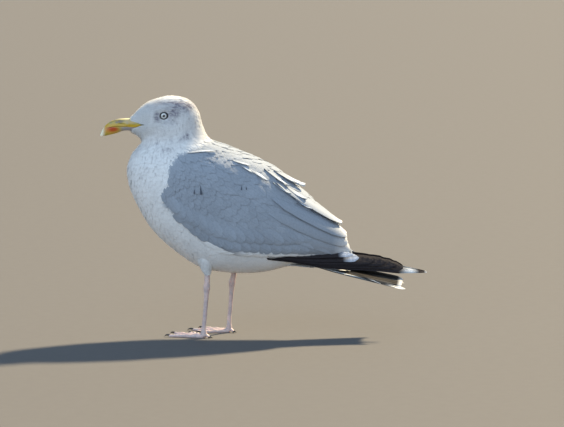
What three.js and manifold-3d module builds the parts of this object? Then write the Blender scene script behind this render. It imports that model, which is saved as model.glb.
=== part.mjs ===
// A life-size herring gull, standing: millimetres, +Z up, bill towards -X, its left side towards -Y.
// The origin is on the floor, under the middle of the bird's length.
import * as THREE from "three";
import { mergeVertices } from "three/addons/utils/BufferGeometryUtils.js";
import Module from "manifold-3d";

const wasm = await Module();
wasm.setup();

// ---- Driving dimensions -------------------------------------------------------------------------

const GAP = 0.3; // clearance between two pieces that meet
const BILL_TIP_X = -245; // front of the bird
const WING_TIP_X = 245; // rear of the bird

// The plumage's outline, station by station from the bill's base to the tertials. Each station is
// a slice across the body between a point on the back line and one on the front and belly line.
const STATIONS = [
  { back: [-202, 328], front: [-198, 307], half: 8.5 },
  { back: [-179, 350], front: [-187.5, 299.5], half: 18 },
  { back: [-159, 358.7], front: [-184.5, 295], half: 24 },
  { back: [-136.7, 362.5], front: [-184, 292], half: 26 },
  { back: [-112, 356.3], front: [-186, 289], half: 27 },
  { back: [-98, 340], front: [-189, 285.5], half: 29 },
  { back: [-91, 317], front: [-193.5, 280.5], half: 33 },
  { back: [-80, 297.5], front: [-199.5, 271.5], half: 42 },
  { back: [-48, 283], front: [-205.5, 247.5], half: 55 },
  { back: [-16, 270], front: [-195.6, 209.6], half: 64 },
  { back: [16, 254], front: [-163, 155.6], half: 68 },
  { back: [49, 227], front: [-103.5, 108], half: 65 },
  { back: [78, 201], front: [-54, 96], half: 57 },
  { back: [104, 176], front: [-3, 96.5], half: 45 },
  { back: [122, 154], front: [46.5, 107], half: 31 },
  { back: [131, 134], front: [103, 112], half: 14 },
];
const LAST_STATION = STATIONS.length - 1;
const BODY_RINGS = 24;
const BODY_SEGMENTS = 16;
const ROUNDNESS = 2.15; // exponent of the slices' outline, 2 is an ellipse

// Layers over the trunk's core.
const WING_THICKNESS = { wrist: 9, tertials: 4 };
const RUMP_INSET = { back: 0.36, side: 0.25 }; // how far the rump lies under the tertials, as shares
const SCAPULAR_THICKNESS = 4;

// The folded wing from the side: its leading edge, wrist and lower edge, then its upper front edge.
const WING_EDGE = [
  [-144, 260], [-145, 241], [-154.5, 226], [-154, 208], [-137, 194], [-101, 164.5], [-76, 146],
  [-60, 136.5], [-30, 128.5], [12, 126.5], [54, 123], [108, 117.5],
];
const WING_REAR = [[120, 121], [136, 134], [140, 320]];
const WING_MIDDLE = [-10, 190];
const WING_ROOM = 1.006; // the opening for the wing over the wing itself, about its middle
const WING_FRONT_TOP = [[-60, 320], [-84, 287], [-108, 278], [-132, 271]];
// The edge of the scapulars over the wing, from the shoulder back to their tips.
const SCAPULAR_EDGE = [[-84, 287], [-112, 277], [-122, 262], [-84, 246], [-30, 232], [20, 219], [50, 214]];
const SCAPULAR_REAR = [[56, 220], [62, 320], [-60, 320]];
const COVERT_CUT = { top: [34, 250], bottom: [-20, 110] }; // coverts in front, tertials behind

// Primaries: the visible stack of long dark feathers, as blades from the longest down.
const PRIMARY_BLADES = [
  { tip: [WING_TIP_X, 96.5], depth: 10, end: 5 },
  { tip: [209, 103], depth: 22, end: 15 },
  { tip: [186, 108], depth: 22, end: 16 },
  { tip: [160, 113], depth: 20, end: 15 },
];
const PRIMARY_ROOT = { x: 4, z: 122, side: 45, half: 1.5 };
const PRIMARY_TIP_SIDE = 13;
const PRIMARY_CLOSED_X = 150; // where the two stacks have closed in, over the tail
const PRIMARY_THICKNESS = 5;
const PRIMARY_LEAN = 0.8; // how far a blade's upper edge leans to the midline

// Tail.
const TAIL = {
  base: [38, 121], tip: [217, 76], half_base: 20, half_tip: 39, thickness: 4.5, feathers: 12,
  bow: 9, scallop: 3, steps: 3, // rear edge: how far it bows, each feather's round end, its points
};

// Bill, seen from the side: its ridge, the line of the mouth, and its lower edge, with half widths.
const BILL = {
  ridge: [[-186, 327.5], [-203, 328.3], [-220, 326.8], [-231, 322.5], [-239.5, 314.5], [BILL_TIP_X, 303]],
  mouth: [
    [-180, 319.5], [-203, 316.6], [-220, 316], [-229, 315], [-236, 311.6], [-240.5, 306], [-241.5, 296],
  ],
  edge: [[-186, 308], [-204, 309.8], [-213, 308.6], [-220, 306], [-230, 303.4], [BILL_TIP_X + 1.2, 300.6]],
  halves: [6.5, 7.6, 6.2, 5, 3.6, 1.1],
};

// Eyes: a ball behind a shallow socket in the cheek.
const EYE = { x: -149, z: 334, radius: 7.6, sunk: 0.5 };
const SOCKET = { radius: 12, depth: 2.2 };

// Legs, one entry for each side: where they stand, and the headings of the three front toes in
// degrees from straight ahead towards the bird's right.
const THIGH_END_Z = 98.5; // where the feathering stops
const HOCK_Z = 76;
const ANKLE_Z = 9;
const LEGS = {
  left: {
    side: -1, foot: [-90, -28], hock: [-85.5, -28.5], top: [-84.5, -29],
    headings: { outer: 13, middle: 39, inner: 62 },
  },
  right: {
    side: 1, foot: [-53, 28], hock: [-48.5, 28.5], top: [-44, 29],
    headings: { outer: 39, middle: 17, inner: -14 },
  },
};
const TARSUS_RADIUS = 3.2;
const HOCK_RADIUS = 5.2;
const TOES = [
  { name: "outer", length: 54, claw: 7 },
  { name: "middle", length: 58, claw: 8.5 },
  { name: "inner", length: 45, claw: 7 },
];
const TOE_RADII = [4, 3, 2];
const WEB_THICKNESS = 1.4;
const HIND_TOE = { turn: 160, length: 9, claw: 4.5, z: 7 }; // turn is from the middle toe

const COLOURS = {
  white: [0xe9ebec, 0.85], grey: [0xa3acb6, 0.75], black: [0x242229, 0.6], bill: [0xe2b43c, 0.35],
  leg: [0xd3a7a4, 0.5], claw: [0x2a2522, 0.4], eye: [0xe4dfb8, 0.1],
};

// ---- Making and cutting solids ------------------------------------------------------------------

const SIDEWAYS = new THREE.Vector3(0, 1, 0);
const UPWARDS = new THREE.Vector3(0, 0, 1);
const FAR_SIDE = 120; // beyond the bird's widest point

/** The manifold solid of a closed three.js geometry. */
function solidOf(geometry) {
  const bare = geometry.clone();
  bare.deleteAttribute("normal");
  bare.deleteAttribute("uv");
  const merged = mergeVertices(bare, 1e-4);
  const triVerts = new Uint32Array(merged.index.array);
  const vertProperties = merged.attributes.position.array;
  const made = new wasm.Manifold(new wasm.Mesh({ numProp: 3, vertProperties, triVerts }));
  if (made.volume() > 0) return made;
  return new wasm.Manifold(new wasm.Mesh({ numProp: 3, vertProperties, triVerts: triVerts.reverse() }));
}

/** A closed loft, from a sphere's grid laid on the rings that ringAt gives for 0 to 1. */
function loft(ringAt, rings, segments) {
  const grid = new THREE.SphereGeometry(1, segments, rings + 1);
  const place = grid.attributes.position;
  for (let row = 0; row <= rings + 1; row++) {
    const t = THREE.MathUtils.clamp((row - 1) / (rings - 1), 0, 1);
    const ring = ringAt(t);
    const atPole = row === 0 || row === rings + 1;
    for (let column = 0; column <= segments; column++) {
      const angle = ((column % segments) / segments) * 2 * Math.PI;
      const point = atPole ? ring.centre : ring.at(angle);
      place.setXYZ(row * (segments + 1) + column, point.x, point.y, point.z);
    }
  }
  return solidOf(grid);
}

/** A tapered tube with round sections along a list of { at: Vector3, radius } stops. */
function limb(stops, segments) {
  const path = new THREE.CatmullRomCurve3(stops.map((s) => s.at), false, "centripetal");
  const radii = new THREE.SplineCurve(stops.map((s, i) => new THREE.Vector2(i, s.radius)));
  return loft((t) => {
    const centre = path.getPoint(t);
    const along = path.getTangent(t);
    const radius = radii.getPoint(t).y;
    const reference = Math.abs(along.z) > 0.9 ? SIDEWAYS : UPWARDS;
    const across = new THREE.Vector3().crossVectors(along, reference).normalize();
    const lift = new THREE.Vector3().crossVectors(across, along).normalize();
    return {
      centre,
      at: (a) => centre.clone().addScaledVector(across, radius * Math.cos(a))
        .addScaledVector(lift, radius * Math.sin(a)),
    };
  }, (stops.length - 1) * 2 + 1, segments);
}

/** A solid prism: an outline in X and Z, from one Y to another. */
function sidePrism(outline, fromY, toY) {
  const shape = new THREE.Shape(outline.map(([x, z]) => new THREE.Vector2(x, z)));
  const geometry = new THREE.ExtrudeGeometry(shape, { depth: toY - fromY, bevelEnabled: false });
  geometry.rotateX(Math.PI / 2); // outline's Y becomes Z, depth runs towards -Y
  geometry.translate(0, toY, 0);
  return solidOf(geometry);
}

/** Points of a smooth open curve through a few chosen ones. */
function smooth(points, steps) {
  return new THREE.SplineCurve(points.map(([x, z]) => new THREE.Vector2(x, z)))
    .getPoints(steps).map((p) => [p.x, p.y]);
}

/** The part of a solid left of the line from a to b in X and Z, less a margin along the line. */
function trimByLine(solid, a, b, margin) {
  const normal = new THREE.Vector3(-(b[1] - a[1]), 0, b[0] - a[0]).normalize();
  const offset = normal.x * a[0] + normal.z * a[1] + margin;
  return solid.trimByPlane([normal.x, 0, normal.z], offset);
}

/** Mirrors a solid from the bird's left to its right. */
const mirrored = (solid) => solid.mirror([0, 1, 0]);

function ramp(value, from, to) {
  return THREE.MathUtils.smoothstep(value, from, to);
}

// ---- The body's whole form ----------------------------------------------------------------------

const backLine = new THREE.CatmullRomCurve3(
  STATIONS.map((s) => new THREE.Vector3(s.back[0], 0, s.back[1])), false, "catmullrom", 0.5);
const frontLine = new THREE.CatmullRomCurve3(
  STATIONS.map((s) => new THREE.Vector3(s.front[0], 0, s.front[1])), false, "catmullrom", 0.5);
const widthLine = new THREE.CatmullRomCurve3(
  STATIONS.map((s, i) => new THREE.Vector3(i, s.half, 0)), false, "catmullrom", 0.5);

/** The plumage's form, grown at its sides, back and belly by functions of station and slice size. */
function bodyForm({ side = () => 0, back = () => 0, belly = () => 0 }) {
  const form = loft((t) => {
    const station = t * LAST_STATION;
    const top = backLine.getPoint(t);
    const bottom = frontLine.getPoint(t);
    const length = top.distanceTo(bottom);
    const width = widthLine.getPoint(t).y;
    const axis = top.clone().sub(bottom).normalize();
    top.addScaledVector(axis, back(station, length));
    bottom.addScaledVector(axis, -belly(station));
    const centre = top.clone().add(bottom).multiplyScalar(0.5);
    const reach = top.distanceTo(bottom) / 2;
    const half = Math.max(0.5, width + side(station, width));
    const rounded = (value) => Math.sign(value) * Math.abs(value) ** (2 / ROUNDNESS);
    return {
      centre,
      at: (a) => centre.clone().addScaledVector(axis, reach * rounded(Math.cos(a)))
        .add(new THREE.Vector3(0, half * rounded(Math.sin(a)), 0)),
    };
  }, BODY_RINGS, BODY_SEGMENTS);
  const left = form.trimByPlane([0, -1, 0], 0);
  return left.add(mirrored(left));
}

const plumage = bodyForm({});
const wingInset = (s) => ramp(s, 6.8, 8.6)
  * THREE.MathUtils.lerp(WING_THICKNESS.wrist, WING_THICKNESS.tertials, ramp(s, 10, 12));
const rumpShare = (s) => ramp(s, 9, 12);

/** The space inside the folded wings. */
const wingLining = bodyForm({ side: (s) => -wingInset(s), back: (s) => -wingInset(s) * 0.8 });

/** The trunk where the wings cover it, which falls away from the tertials towards the rump. */
const core = (extra) => bodyForm({
  side: (s, half) => -wingInset(s) - RUMP_INSET.side * half * rumpShare(s) - extra,
  back: (s, length) => -wingInset(s) * 0.8 - RUMP_INSET.back * length * rumpShare(s) - extra,
  belly: () => -extra,
});
const scapularLayer = bodyForm({
  side: (s) => SCAPULAR_THICKNESS * ramp(s, 7, 8.5),
  back: (s) => SCAPULAR_THICKNESS * ramp(s, 7, 8.5),
});

// ---- Head, neck and trunk -----------------------------------------------------------------------

const HEAD_CUT = { throat: [-195, 284], nape: [-80, 318] };
const TRUNK_REAR_X = 100;
const NECK_CUT = { breast: [-215, 247], back: [-52, 297] };

/** How far out a form reaches on the left at a point of its side view. */
function sideReach(form, x, z) {
  const half = 0.5;
  const outline = [[x - half, z - half], [x + half, z - half], [x + half, z + half], [x - half, z + half]];
  return form.intersect(sidePrism(outline, -FAR_SIDE, 0)).boundingBox().min[1];
}

const CHEEK_Y = sideReach(plumage, EYE.x, EYE.z);

/** The left eye's ball. */
function eyeball(grow = 0) {
  const ball = new THREE.SphereGeometry(EYE.radius + grow, 10, 8);
  ball.translate(EYE.x, CHEEK_Y + EYE.sunk + EYE.radius, EYE.z);
  return solidOf(ball);
}

/** The shallow bowl round the left eye. */
function eyeSocket() {
  const bowl = new THREE.SphereGeometry(SOCKET.radius, 10, 8);
  bowl.translate(EYE.x, CHEEK_Y + SOCKET.depth - SOCKET.radius, EYE.z);
  return solidOf(bowl);
}

function headSolid() {
  const eyeRoom = eyeball(GAP).add(eyeSocket());
  return trimByLine(plumage, HEAD_CUT.throat, HEAD_CUT.nape, GAP / 2)
    .subtract(eyeRoom).subtract(mirrored(eyeRoom)).subtract(billForm(GAP));
}

function neckSolid() {
  const below = trimByLine(plumage, HEAD_CUT.nape, HEAD_CUT.throat, GAP / 2);
  const above = trimByLine(below, NECK_CUT.breast, NECK_CUT.back, GAP / 2);
  return largest(above.subtract(wingSpace()));
}

// ---- Bill ---------------------------------------------------------------------------------------

/** The whole closed bill, which runs a little way into the head. */
function billForm(grow = 0) {
  const curve = (points) => new THREE.CatmullRomCurve3(
    points.map(([x, z]) => new THREE.Vector3(x, 0, z)), false, "catmullrom", 0.5);
  const ridge = curve(BILL.ridge);
  const edge = curve(BILL.edge);
  const width = curve(BILL.halves.map((half, i) => [i, half]));
  return loft((t) => {
    const top = ridge.getPoint(t);
    const bottom = edge.getPoint(t);
    const centre = top.clone().add(bottom).multiplyScalar(0.5);
    const axis = top.clone().sub(bottom).normalize();
    const reach = top.distanceTo(bottom) / 2 + grow;
    const half = width.getPoint(t).z + grow;
    return {
      centre,
      at: (a) => centre.clone().addScaledVector(axis, reach * Math.cos(a))
        .add(new THREE.Vector3(0, half * Math.sin(a), 0)),
    };
  }, 10, 10);
}

/** The bill's two halves, parted along the line of the mouth. */
function billParts() {
  const mouth = smooth(BILL.mouth, 12);
  const [rearX] = mouth[0];
  const [tipX, tipZ] = mouth[mouth.length - 1];
  const above = [...mouth, [tipX - 20, tipZ], [tipX - 20, tipZ + 60], [rearX, tipZ + 60]];
  const upperSpace = sidePrism(above, -FAR_SIDE, FAR_SIDE);
  const shifted = sidePrism(above.map(([x, z]) => [x + GAP / 2, z - GAP]), -FAR_SIDE, FAR_SIDE);
  const whole = billForm();
  return { upper: largest(whole.intersect(upperSpace)), lower: largest(whole.subtract(shifted)) };
}

// ---- Wings --------------------------------------------------------------------------------------

const wingOutline = [...smooth(WING_EDGE, 40), ...WING_REAR, ...WING_FRONT_TOP];
const scapularOutline = [...smooth(SCAPULAR_EDGE, 24), ...SCAPULAR_REAR];

/** Mantle and scapulars: one saddle over the back and the tops of both wings. */
function mantleSolid() {
  return scapularLayer.intersect(sidePrism(scapularOutline, -FAR_SIDE, FAR_SIDE)).subtract(bodyForm({
    side: () => GAP, back: () => GAP, belly: () => GAP,
  }));
}

/** The left wing's layer over the trunk's core, before it is divided. */
function wingLayer() {
  const shell = plumage.intersect(sidePrism(wingOutline, -FAR_SIDE, -GAP / 2));
  return shell.subtract(wingLining).subtract(core(0));
}

/** What both wings and their clearance take from the body. */
function wingSpace() {
  const over = bodyForm({ side: () => 2, back: () => 2, belly: () => 2 });
  const [middleX, middleZ] = WING_MIDDLE;
  const roomy = wingOutline.map(([x, z]) => [
    middleX + (x - middleX) * WING_ROOM, middleZ + (z - middleZ) * WING_ROOM,
  ]);
  return over.intersect(sidePrism(roomy, -FAR_SIDE, FAR_SIDE)).subtract(core(GAP));
}

/** The primaries of the left wing as one stack of blades, each tapering to its own round tip. */
function primaries(grow = 0) {
  const sideAt = (x) => Math.max(PRIMARY_TIP_SIDE, THREE.MathUtils.mapLinear(
    x, PRIMARY_ROOT.x, PRIMARY_CLOSED_X, PRIMARY_ROOT.side, PRIMARY_TIP_SIDE));
  const blades = PRIMARY_BLADES.map((blade, order) => {
    const [tipX, tipZ] = blade.tip;
    const half = (t) => {
      const spread = THREE.MathUtils.lerp(PRIMARY_ROOT.half, blade.depth / 2, ramp(t, 0, 0.5));
      const narrowed = THREE.MathUtils.lerp(spread, blade.end / 2, ramp(t, 0.5, 0.9));
      return narrowed * Math.sqrt(Math.max(0.02, 1 - ramp(t, 0.9, 1) ** 2)) + grow;
    };
    return loft((t) => {
      const x = THREE.MathUtils.lerp(PRIMARY_ROOT.x, tipX, t);
      const z = THREE.MathUtils.lerp(PRIMARY_ROOT.z + order, tipZ, t);
      const centre = new THREE.Vector3(x, -sideAt(x) + order * 0.6, z);
      const reach = half(t);
      const thick = (PRIMARY_THICKNESS / 2) * (1 - 0.55 * t) + grow;
      return {
        centre,
        at: (a) => centre.clone().add(new THREE.Vector3(
          0, thick * Math.sin(a) + reach * Math.cos(a) * PRIMARY_LEAN, reach * Math.cos(a))),
      };
    }, 7, 6);
  });
  return blades.reduce((all, blade) => all.add(blade));
}

/** The left wing in two: coverts in front and, behind them, the tertials with the secondaries. */
function wingParts() {
  const free = wingLayer().subtract(primaries(GAP));
  const { top, bottom } = COVERT_CUT;
  return {
    coverts: largest(trimByLine(free, bottom, top, GAP / 2)),
    tertials: largest(trimByLine(free, top, bottom, GAP / 2)),
  };
}

function largest(solid) {
  return solid.decompose().sort((a, b) => b.volume() - a.volume())[0];
}

// ---- Trunk --------------------------------------------------------------------------------------

function trunkSolid() {
  let trunk = trimByLine(plumage, NECK_CUT.back, NECK_CUT.breast, GAP / 2);
  trunk = trunk.trimByPlane([-1, 0, 0], -TRUNK_REAR_X).subtract(wingSpace());
  trunk = trunk.subtract(primaries(GAP)).subtract(mirrored(primaries(GAP))).subtract(tailSolid(GAP));
  for (const leg of Object.values(LEGS)) trunk = trunk.subtract(thighSolid(leg, GAP));
  return largest(trunk);
}

// ---- Tail ---------------------------------------------------------------------------------------

/** The closed tail: a thin fan whose rear edge shows the feathers' round ends. */
function tailSolid(grow = 0) {
  const [baseX, baseZ] = TAIL.base;
  const [tipX, tipZ] = TAIL.tip;
  const length = Math.hypot(tipX - baseX, tipZ - baseZ) + grow;
  const edge = [];
  const steps = TAIL.feathers * TAIL.steps;
  for (let i = 0; i <= steps; i++) {
    const across = (i / steps) * 2 - 1;
    const scallop = Math.abs(Math.sin((i / steps) * TAIL.feathers * Math.PI)) * TAIL.scallop;
    edge.push([length - TAIL.bow * across * across - TAIL.scallop + scallop, across * (TAIL.half_tip + grow)]);
  }
  const outline = [[-grow, -TAIL.half_base - grow], ...edge, [-grow, TAIL.half_base + grow]];
  const shape = new THREE.Shape(outline.map(([x, y]) => new THREE.Vector2(x, y)));
  const depth = TAIL.thickness + 2 * grow;
  const geometry = new THREE.ExtrudeGeometry(shape, { depth, bevelEnabled: false });
  geometry.translate(0, 0, -depth / 2);
  geometry.rotateY(Math.atan2(baseZ - tipZ, tipX - baseX));
  geometry.translate(baseX, 0, baseZ);
  return solidOf(geometry);
}

// ---- Legs and feet ------------------------------------------------------------------------------

function thighSolid(leg, grow = 0) {
  const [x, y] = leg.top;
  return limb([
    { at: new THREE.Vector3(x - 4, y, THIGH_END_Z + 35), radius: 16 + grow },
    { at: new THREE.Vector3(x - 2, y, THIGH_END_Z + 18), radius: 13 + grow },
    { at: new THREE.Vector3(x - 1, y, THIGH_END_Z + 7), radius: 9 + grow },
    { at: new THREE.Vector3(x, y, THIGH_END_Z - grow), radius: 6.5 + grow },
  ], 8);
}

function shankSolid(leg, grow = 0) {
  const [footX, footY] = leg.foot;
  const [hockX, hockY] = leg.hock;
  const [topX, topY] = leg.top;
  const stop = (x, y, z, radius) => ({ at: new THREE.Vector3(x, y, z), radius: radius + grow });
  return limb([
    stop(topX, topY, THIGH_END_Z + 1, 4),
    stop((topX + hockX) / 2, topY, HOCK_Z + 9, 4.4),
    stop(hockX, hockY, HOCK_Z, HOCK_RADIUS),
    stop(hockX - 0.5, hockY, HOCK_Z - 10, 3.8),
    stop((hockX + footX) / 2, footY, (HOCK_Z + ANKLE_Z) / 2, TARSUS_RADIUS),
    stop(footX, footY, ANKLE_Z + 8, 3.5),
    stop(footX, footY, ANKLE_Z, 4.2),
  ], 8);
}

/** The point at a distance from the ankle along a heading, at a height. */
function onFoot(leg, heading, distance, z) {
  const angle = THREE.MathUtils.degToRad(heading);
  const [x, y] = leg.foot;
  return new THREE.Vector3(x - distance * Math.cos(angle), y + distance * Math.sin(angle), z);
}

function toeSolid(leg, toe) {
  const heading = leg.headings[toe.name];
  return limb(TOE_RADII.map((radius, i) => ({
    at: onFoot(leg, heading, (toe.length * i) / (TOE_RADII.length - 1), radius * 0.8), radius,
  })), 6);
}

function webSolid(leg) {
  const tips = TOES.map((toe) => onFoot(leg, leg.headings[toe.name], toe.length * 0.93, 0));
  const middle = (a, b, pull) => a.clone().add(b).multiplyScalar(0.5)
    .lerp(new THREE.Vector3(leg.foot[0], leg.foot[1], 0), pull);
  const shape = new THREE.Shape();
  shape.moveTo(leg.foot[0], leg.foot[1]);
  shape.lineTo(tips[0].x, tips[0].y);
  const inward = 0.16;
  for (const [a, b] of [[tips[0], tips[1]], [tips[1], tips[2]]]) {
    const bow = middle(a, b, inward);
    shape.quadraticCurveTo(bow.x, bow.y, b.x, b.y);
  }
  shape.closePath();
  const depth = WEB_THICKNESS;
  return solidOf(new THREE.ExtrudeGeometry(shape, { depth, bevelEnabled: false, curveSegments: 3 }));
}

const hindHeading = (leg) => leg.headings.middle - leg.side * HIND_TOE.turn;

function hindToe(leg) {
  const heading = hindHeading(leg);
  return limb([
    { at: onFoot(leg, heading, 0, HIND_TOE.z), radius: 2.4 },
    { at: onFoot(leg, heading, HIND_TOE.length * 0.6, HIND_TOE.z - 3), radius: 2 },
    { at: onFoot(leg, heading, HIND_TOE.length, HIND_TOE.z - 5), radius: 1.6 },
  ], 6);
}

function footSolid(leg) {
  let foot = webSolid(leg).add(hindToe(leg));
  for (const toe of TOES) foot = foot.add(toeSolid(leg, toe));
  foot = foot.add(limb([
    { at: new THREE.Vector3(leg.foot[0], leg.foot[1], 1), radius: 4.6 },
    { at: new THREE.Vector3(leg.foot[0], leg.foot[1], ANKLE_Z + 3), radius: 4 },
  ], 8));
  foot = foot.trimByPlane([0, 0, 1], 0).subtract(shankSolid(leg, GAP));
  for (const claw of claws(leg)) foot = foot.subtract(claw.grown);
  return largest(foot);
}

/** The claws of one foot, each with a grown copy that clears its socket. */
function claws(leg) {
  const claw = (grow, heading, start, length, z, drop) => limb([
    { at: onFoot(leg, heading, start - 1.5, z), radius: 1.7 + grow },
    { at: onFoot(leg, heading, start + length * 0.5, z + 0.5), radius: 1.3 + grow },
    { at: onFoot(leg, heading, start + length + grow, z - drop), radius: 0.5 + grow },
  ], 5).trimByPlane([0, 0, 1], grow ? -1 : 0);
  const made = TOES.map((toe) => {
    const numbers = [leg.headings[toe.name], toe.length, toe.claw, 2.4, 1.6];
    return { name: toe.name, solid: claw(0, ...numbers), grown: claw(GAP, ...numbers) };
  });
  const hind = [hindHeading(leg), HIND_TOE.length, HIND_TOE.claw, HIND_TOE.z - 5.2, 1.8];
  return [...made, { name: "hind", solid: claw(0, ...hind), grown: claw(GAP, ...hind) }];
}

// ---- The scene graph ----------------------------------------------------------------------------

const bird = new THREE.Group();

/** Adds a solid to the bird as a named mesh of one of the colours. */
function addPiece(name, solid, colour) {
  const { vertProperties, triVerts } = solid.getMesh();
  const geometry = new THREE.BufferGeometry()
    .setAttribute("position", new THREE.BufferAttribute(vertProperties, 3))
    .setIndex(new THREE.BufferAttribute(triVerts, 1));
  geometry.computeVertexNormals();
  const [hex, roughness] = COLOURS[colour];
  const material = new THREE.MeshStandardMaterial({ color: hex, roughness, metalness: 0 });
  const mesh = new THREE.Mesh(geometry, material);
  mesh.name = name;
  bird.add(mesh);
}

addPiece("head", headSolid(), "white");
addPiece("neck", neckSolid(), "white");
addPiece("trunk", trunkSolid(), "white");
const bill = billParts();
addPiece("bill_upper", bill.upper, "bill");
addPiece("bill_lower", bill.lower, "bill");
addPiece("eye_left", eyeball(), "eye");
addPiece("eye_right", mirrored(eyeball()), "eye");
addPiece("mantle", mantleSolid(), "grey");
addPiece("tail", tailSolid().subtract(primaries(GAP)).subtract(mirrored(primaries(GAP))), "white");

const wing = wingParts();
for (const [side, turned] of [["left", (s) => s], ["right", mirrored]]) {
  addPiece(`wing_${side}_coverts`, turned(wing.coverts), "grey");
  addPiece(`wing_${side}_tertials`, turned(wing.tertials), "grey");
  addPiece(`wing_${side}_primaries`, turned(primaries()), "black");
}

for (const [side, leg] of Object.entries(LEGS)) {
  addPiece(`thigh_${side}`, thighSolid(leg).subtract(shankSolid(leg, GAP)), "white");
  addPiece(`shank_${side}`, shankSolid(leg), "leg");
  addPiece(`foot_${side}`, footSolid(leg), "leg");
  for (const claw of claws(leg)) addPiece(`claw_${side}_${claw.name}`, claw.solid, "claw");
}

export default bird;
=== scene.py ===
"""A life-size herring gull in winter plumage, standing still.

Metres, +Z up, bill towards -X, the bird's left side towards -Y, and its feet on Z = 0. One skin
carries a coat of feathers, laid over it as closed vanes. Bill, eyes, legs and claws are their own.
"""
import logging
import math
from dataclasses import dataclass, replace
from enum import Enum
from functools import partial

import bpy
import numpy as np
from bpy.types import ID, Material, Mesh, Node, NodeSocket, NodeTree, Object
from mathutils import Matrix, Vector

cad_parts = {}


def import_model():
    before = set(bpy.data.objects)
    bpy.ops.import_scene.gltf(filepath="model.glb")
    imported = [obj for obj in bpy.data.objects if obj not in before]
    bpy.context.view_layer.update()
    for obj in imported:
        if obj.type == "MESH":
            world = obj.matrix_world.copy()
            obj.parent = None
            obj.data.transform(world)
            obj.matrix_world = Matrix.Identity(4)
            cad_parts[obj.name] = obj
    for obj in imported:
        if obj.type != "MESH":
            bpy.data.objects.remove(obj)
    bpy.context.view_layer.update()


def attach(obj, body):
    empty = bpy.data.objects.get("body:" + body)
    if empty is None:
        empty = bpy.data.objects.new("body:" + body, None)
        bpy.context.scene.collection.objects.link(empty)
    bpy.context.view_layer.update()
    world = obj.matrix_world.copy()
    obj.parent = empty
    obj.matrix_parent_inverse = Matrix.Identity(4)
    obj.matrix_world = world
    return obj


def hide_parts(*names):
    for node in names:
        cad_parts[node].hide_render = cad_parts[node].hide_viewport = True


Array = np.ndarray
LOG = logging.getLogger("gull")
BODY = "root"
BELLY = math.pi  # angle round the body from the back
MM = 0.001  # a millimetre in metres


class Side(Enum):
    """A side of the bird, by the sign of Y."""

    LEFT = -1
    RIGHT = 1

    @property
    def word(self) -> str:
        """The side's name as the nodes have it."""
        return self.name.lower()


# ---- Curves and fields ----


def ramp(value: Array, low: float, high: float) -> Array:
    """A smooth step from 0 at low to 1 at high."""
    share = np.clip((np.asarray(value, float) - low) / (high - low), 0, 1)
    return share * share * (3 - 2 * share)


def mix(a: Array, b: Array, share: Array) -> Array:
    """The blend from a to b by share."""
    return a + (b - a) * share


def unit(vectors: Array) -> Array:
    """Vectors at length one."""
    return vectors / np.maximum(np.linalg.norm(vectors, axis=-1, keepdims=True), 1e-12)


def dot(a: Array, b: Array) -> Array:
    """The dot product of each pair of vectors."""
    return np.sum(a * b, axis=-1)


def along_curve(points: Array, number: Array) -> Array:
    """Points of a smooth curve through numbered ones, which runs straight on past its ends.

    Args:
        points: One row for each numbered point.
        number: Places on the curve, where 0 is the first row and 1 the second.

    Returns:
        One row for each place.
    """
    points = np.asarray(points, float)
    last = len(points) - 1
    number = np.asarray(number, float)
    inside = np.clip(number, 0, last)
    i = np.minimum(inside.astype(int), last - 1)
    f = (inside - i)[..., None]
    padded = np.vstack([2 * points[0] - points[1], points, 2 * points[-1] - points[-2]])
    p0, p1, p2, p3 = (padded[i + k] for k in range(4))
    m1, m2 = (p2 - p0) / 2, (p3 - p1) / 2
    on = (2 * f**3 - 3 * f**2 + 1) * p1 + (f**3 - 2 * f**2 + f) * m1
    on = on + (3 * f**2 - 2 * f**3) * p2 + (f**3 - f**2) * m2
    past = (number - inside)[..., None]
    return on + past * np.where(past > 0, m2, m1)


def spread(points: Array, count: int) -> Array:
    """A number of evenly numbered places on the curve through a few points."""
    return along_curve(points, np.linspace(0, len(points) - 1, count))


def hashed(cells: Array, seed: int) -> Array:
    """A repeatable number from 0 to 1 for each whole-numbered cell."""
    c = cells.astype(np.int64)
    mixed = (c[..., 0] * 73856093) ^ (c[..., 1] * 19349663) ^ (c[..., 2] * 83492791) ^ (seed * 265443)
    mixed = (mixed ^ (mixed >> 13)) * 1274126177
    return ((mixed ^ (mixed >> 16)) & 0xFFFF) / 0xFFFF


def clouds(points: Array, size: float, seed: int) -> Array:
    """Smooth noise from 0 to 1, with patches of a size."""
    scaled = points / size
    cell = np.floor(scaled)
    f = scaled - cell
    f = f * f * (3 - 2 * f)
    total = np.zeros(points.shape[:-1])
    for corner in np.ndindex(2, 2, 2):
        weight = np.prod(np.where(corner, f, 1 - f), axis=-1)
        total += weight * hashed(cell + corner, seed)
    return total


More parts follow.
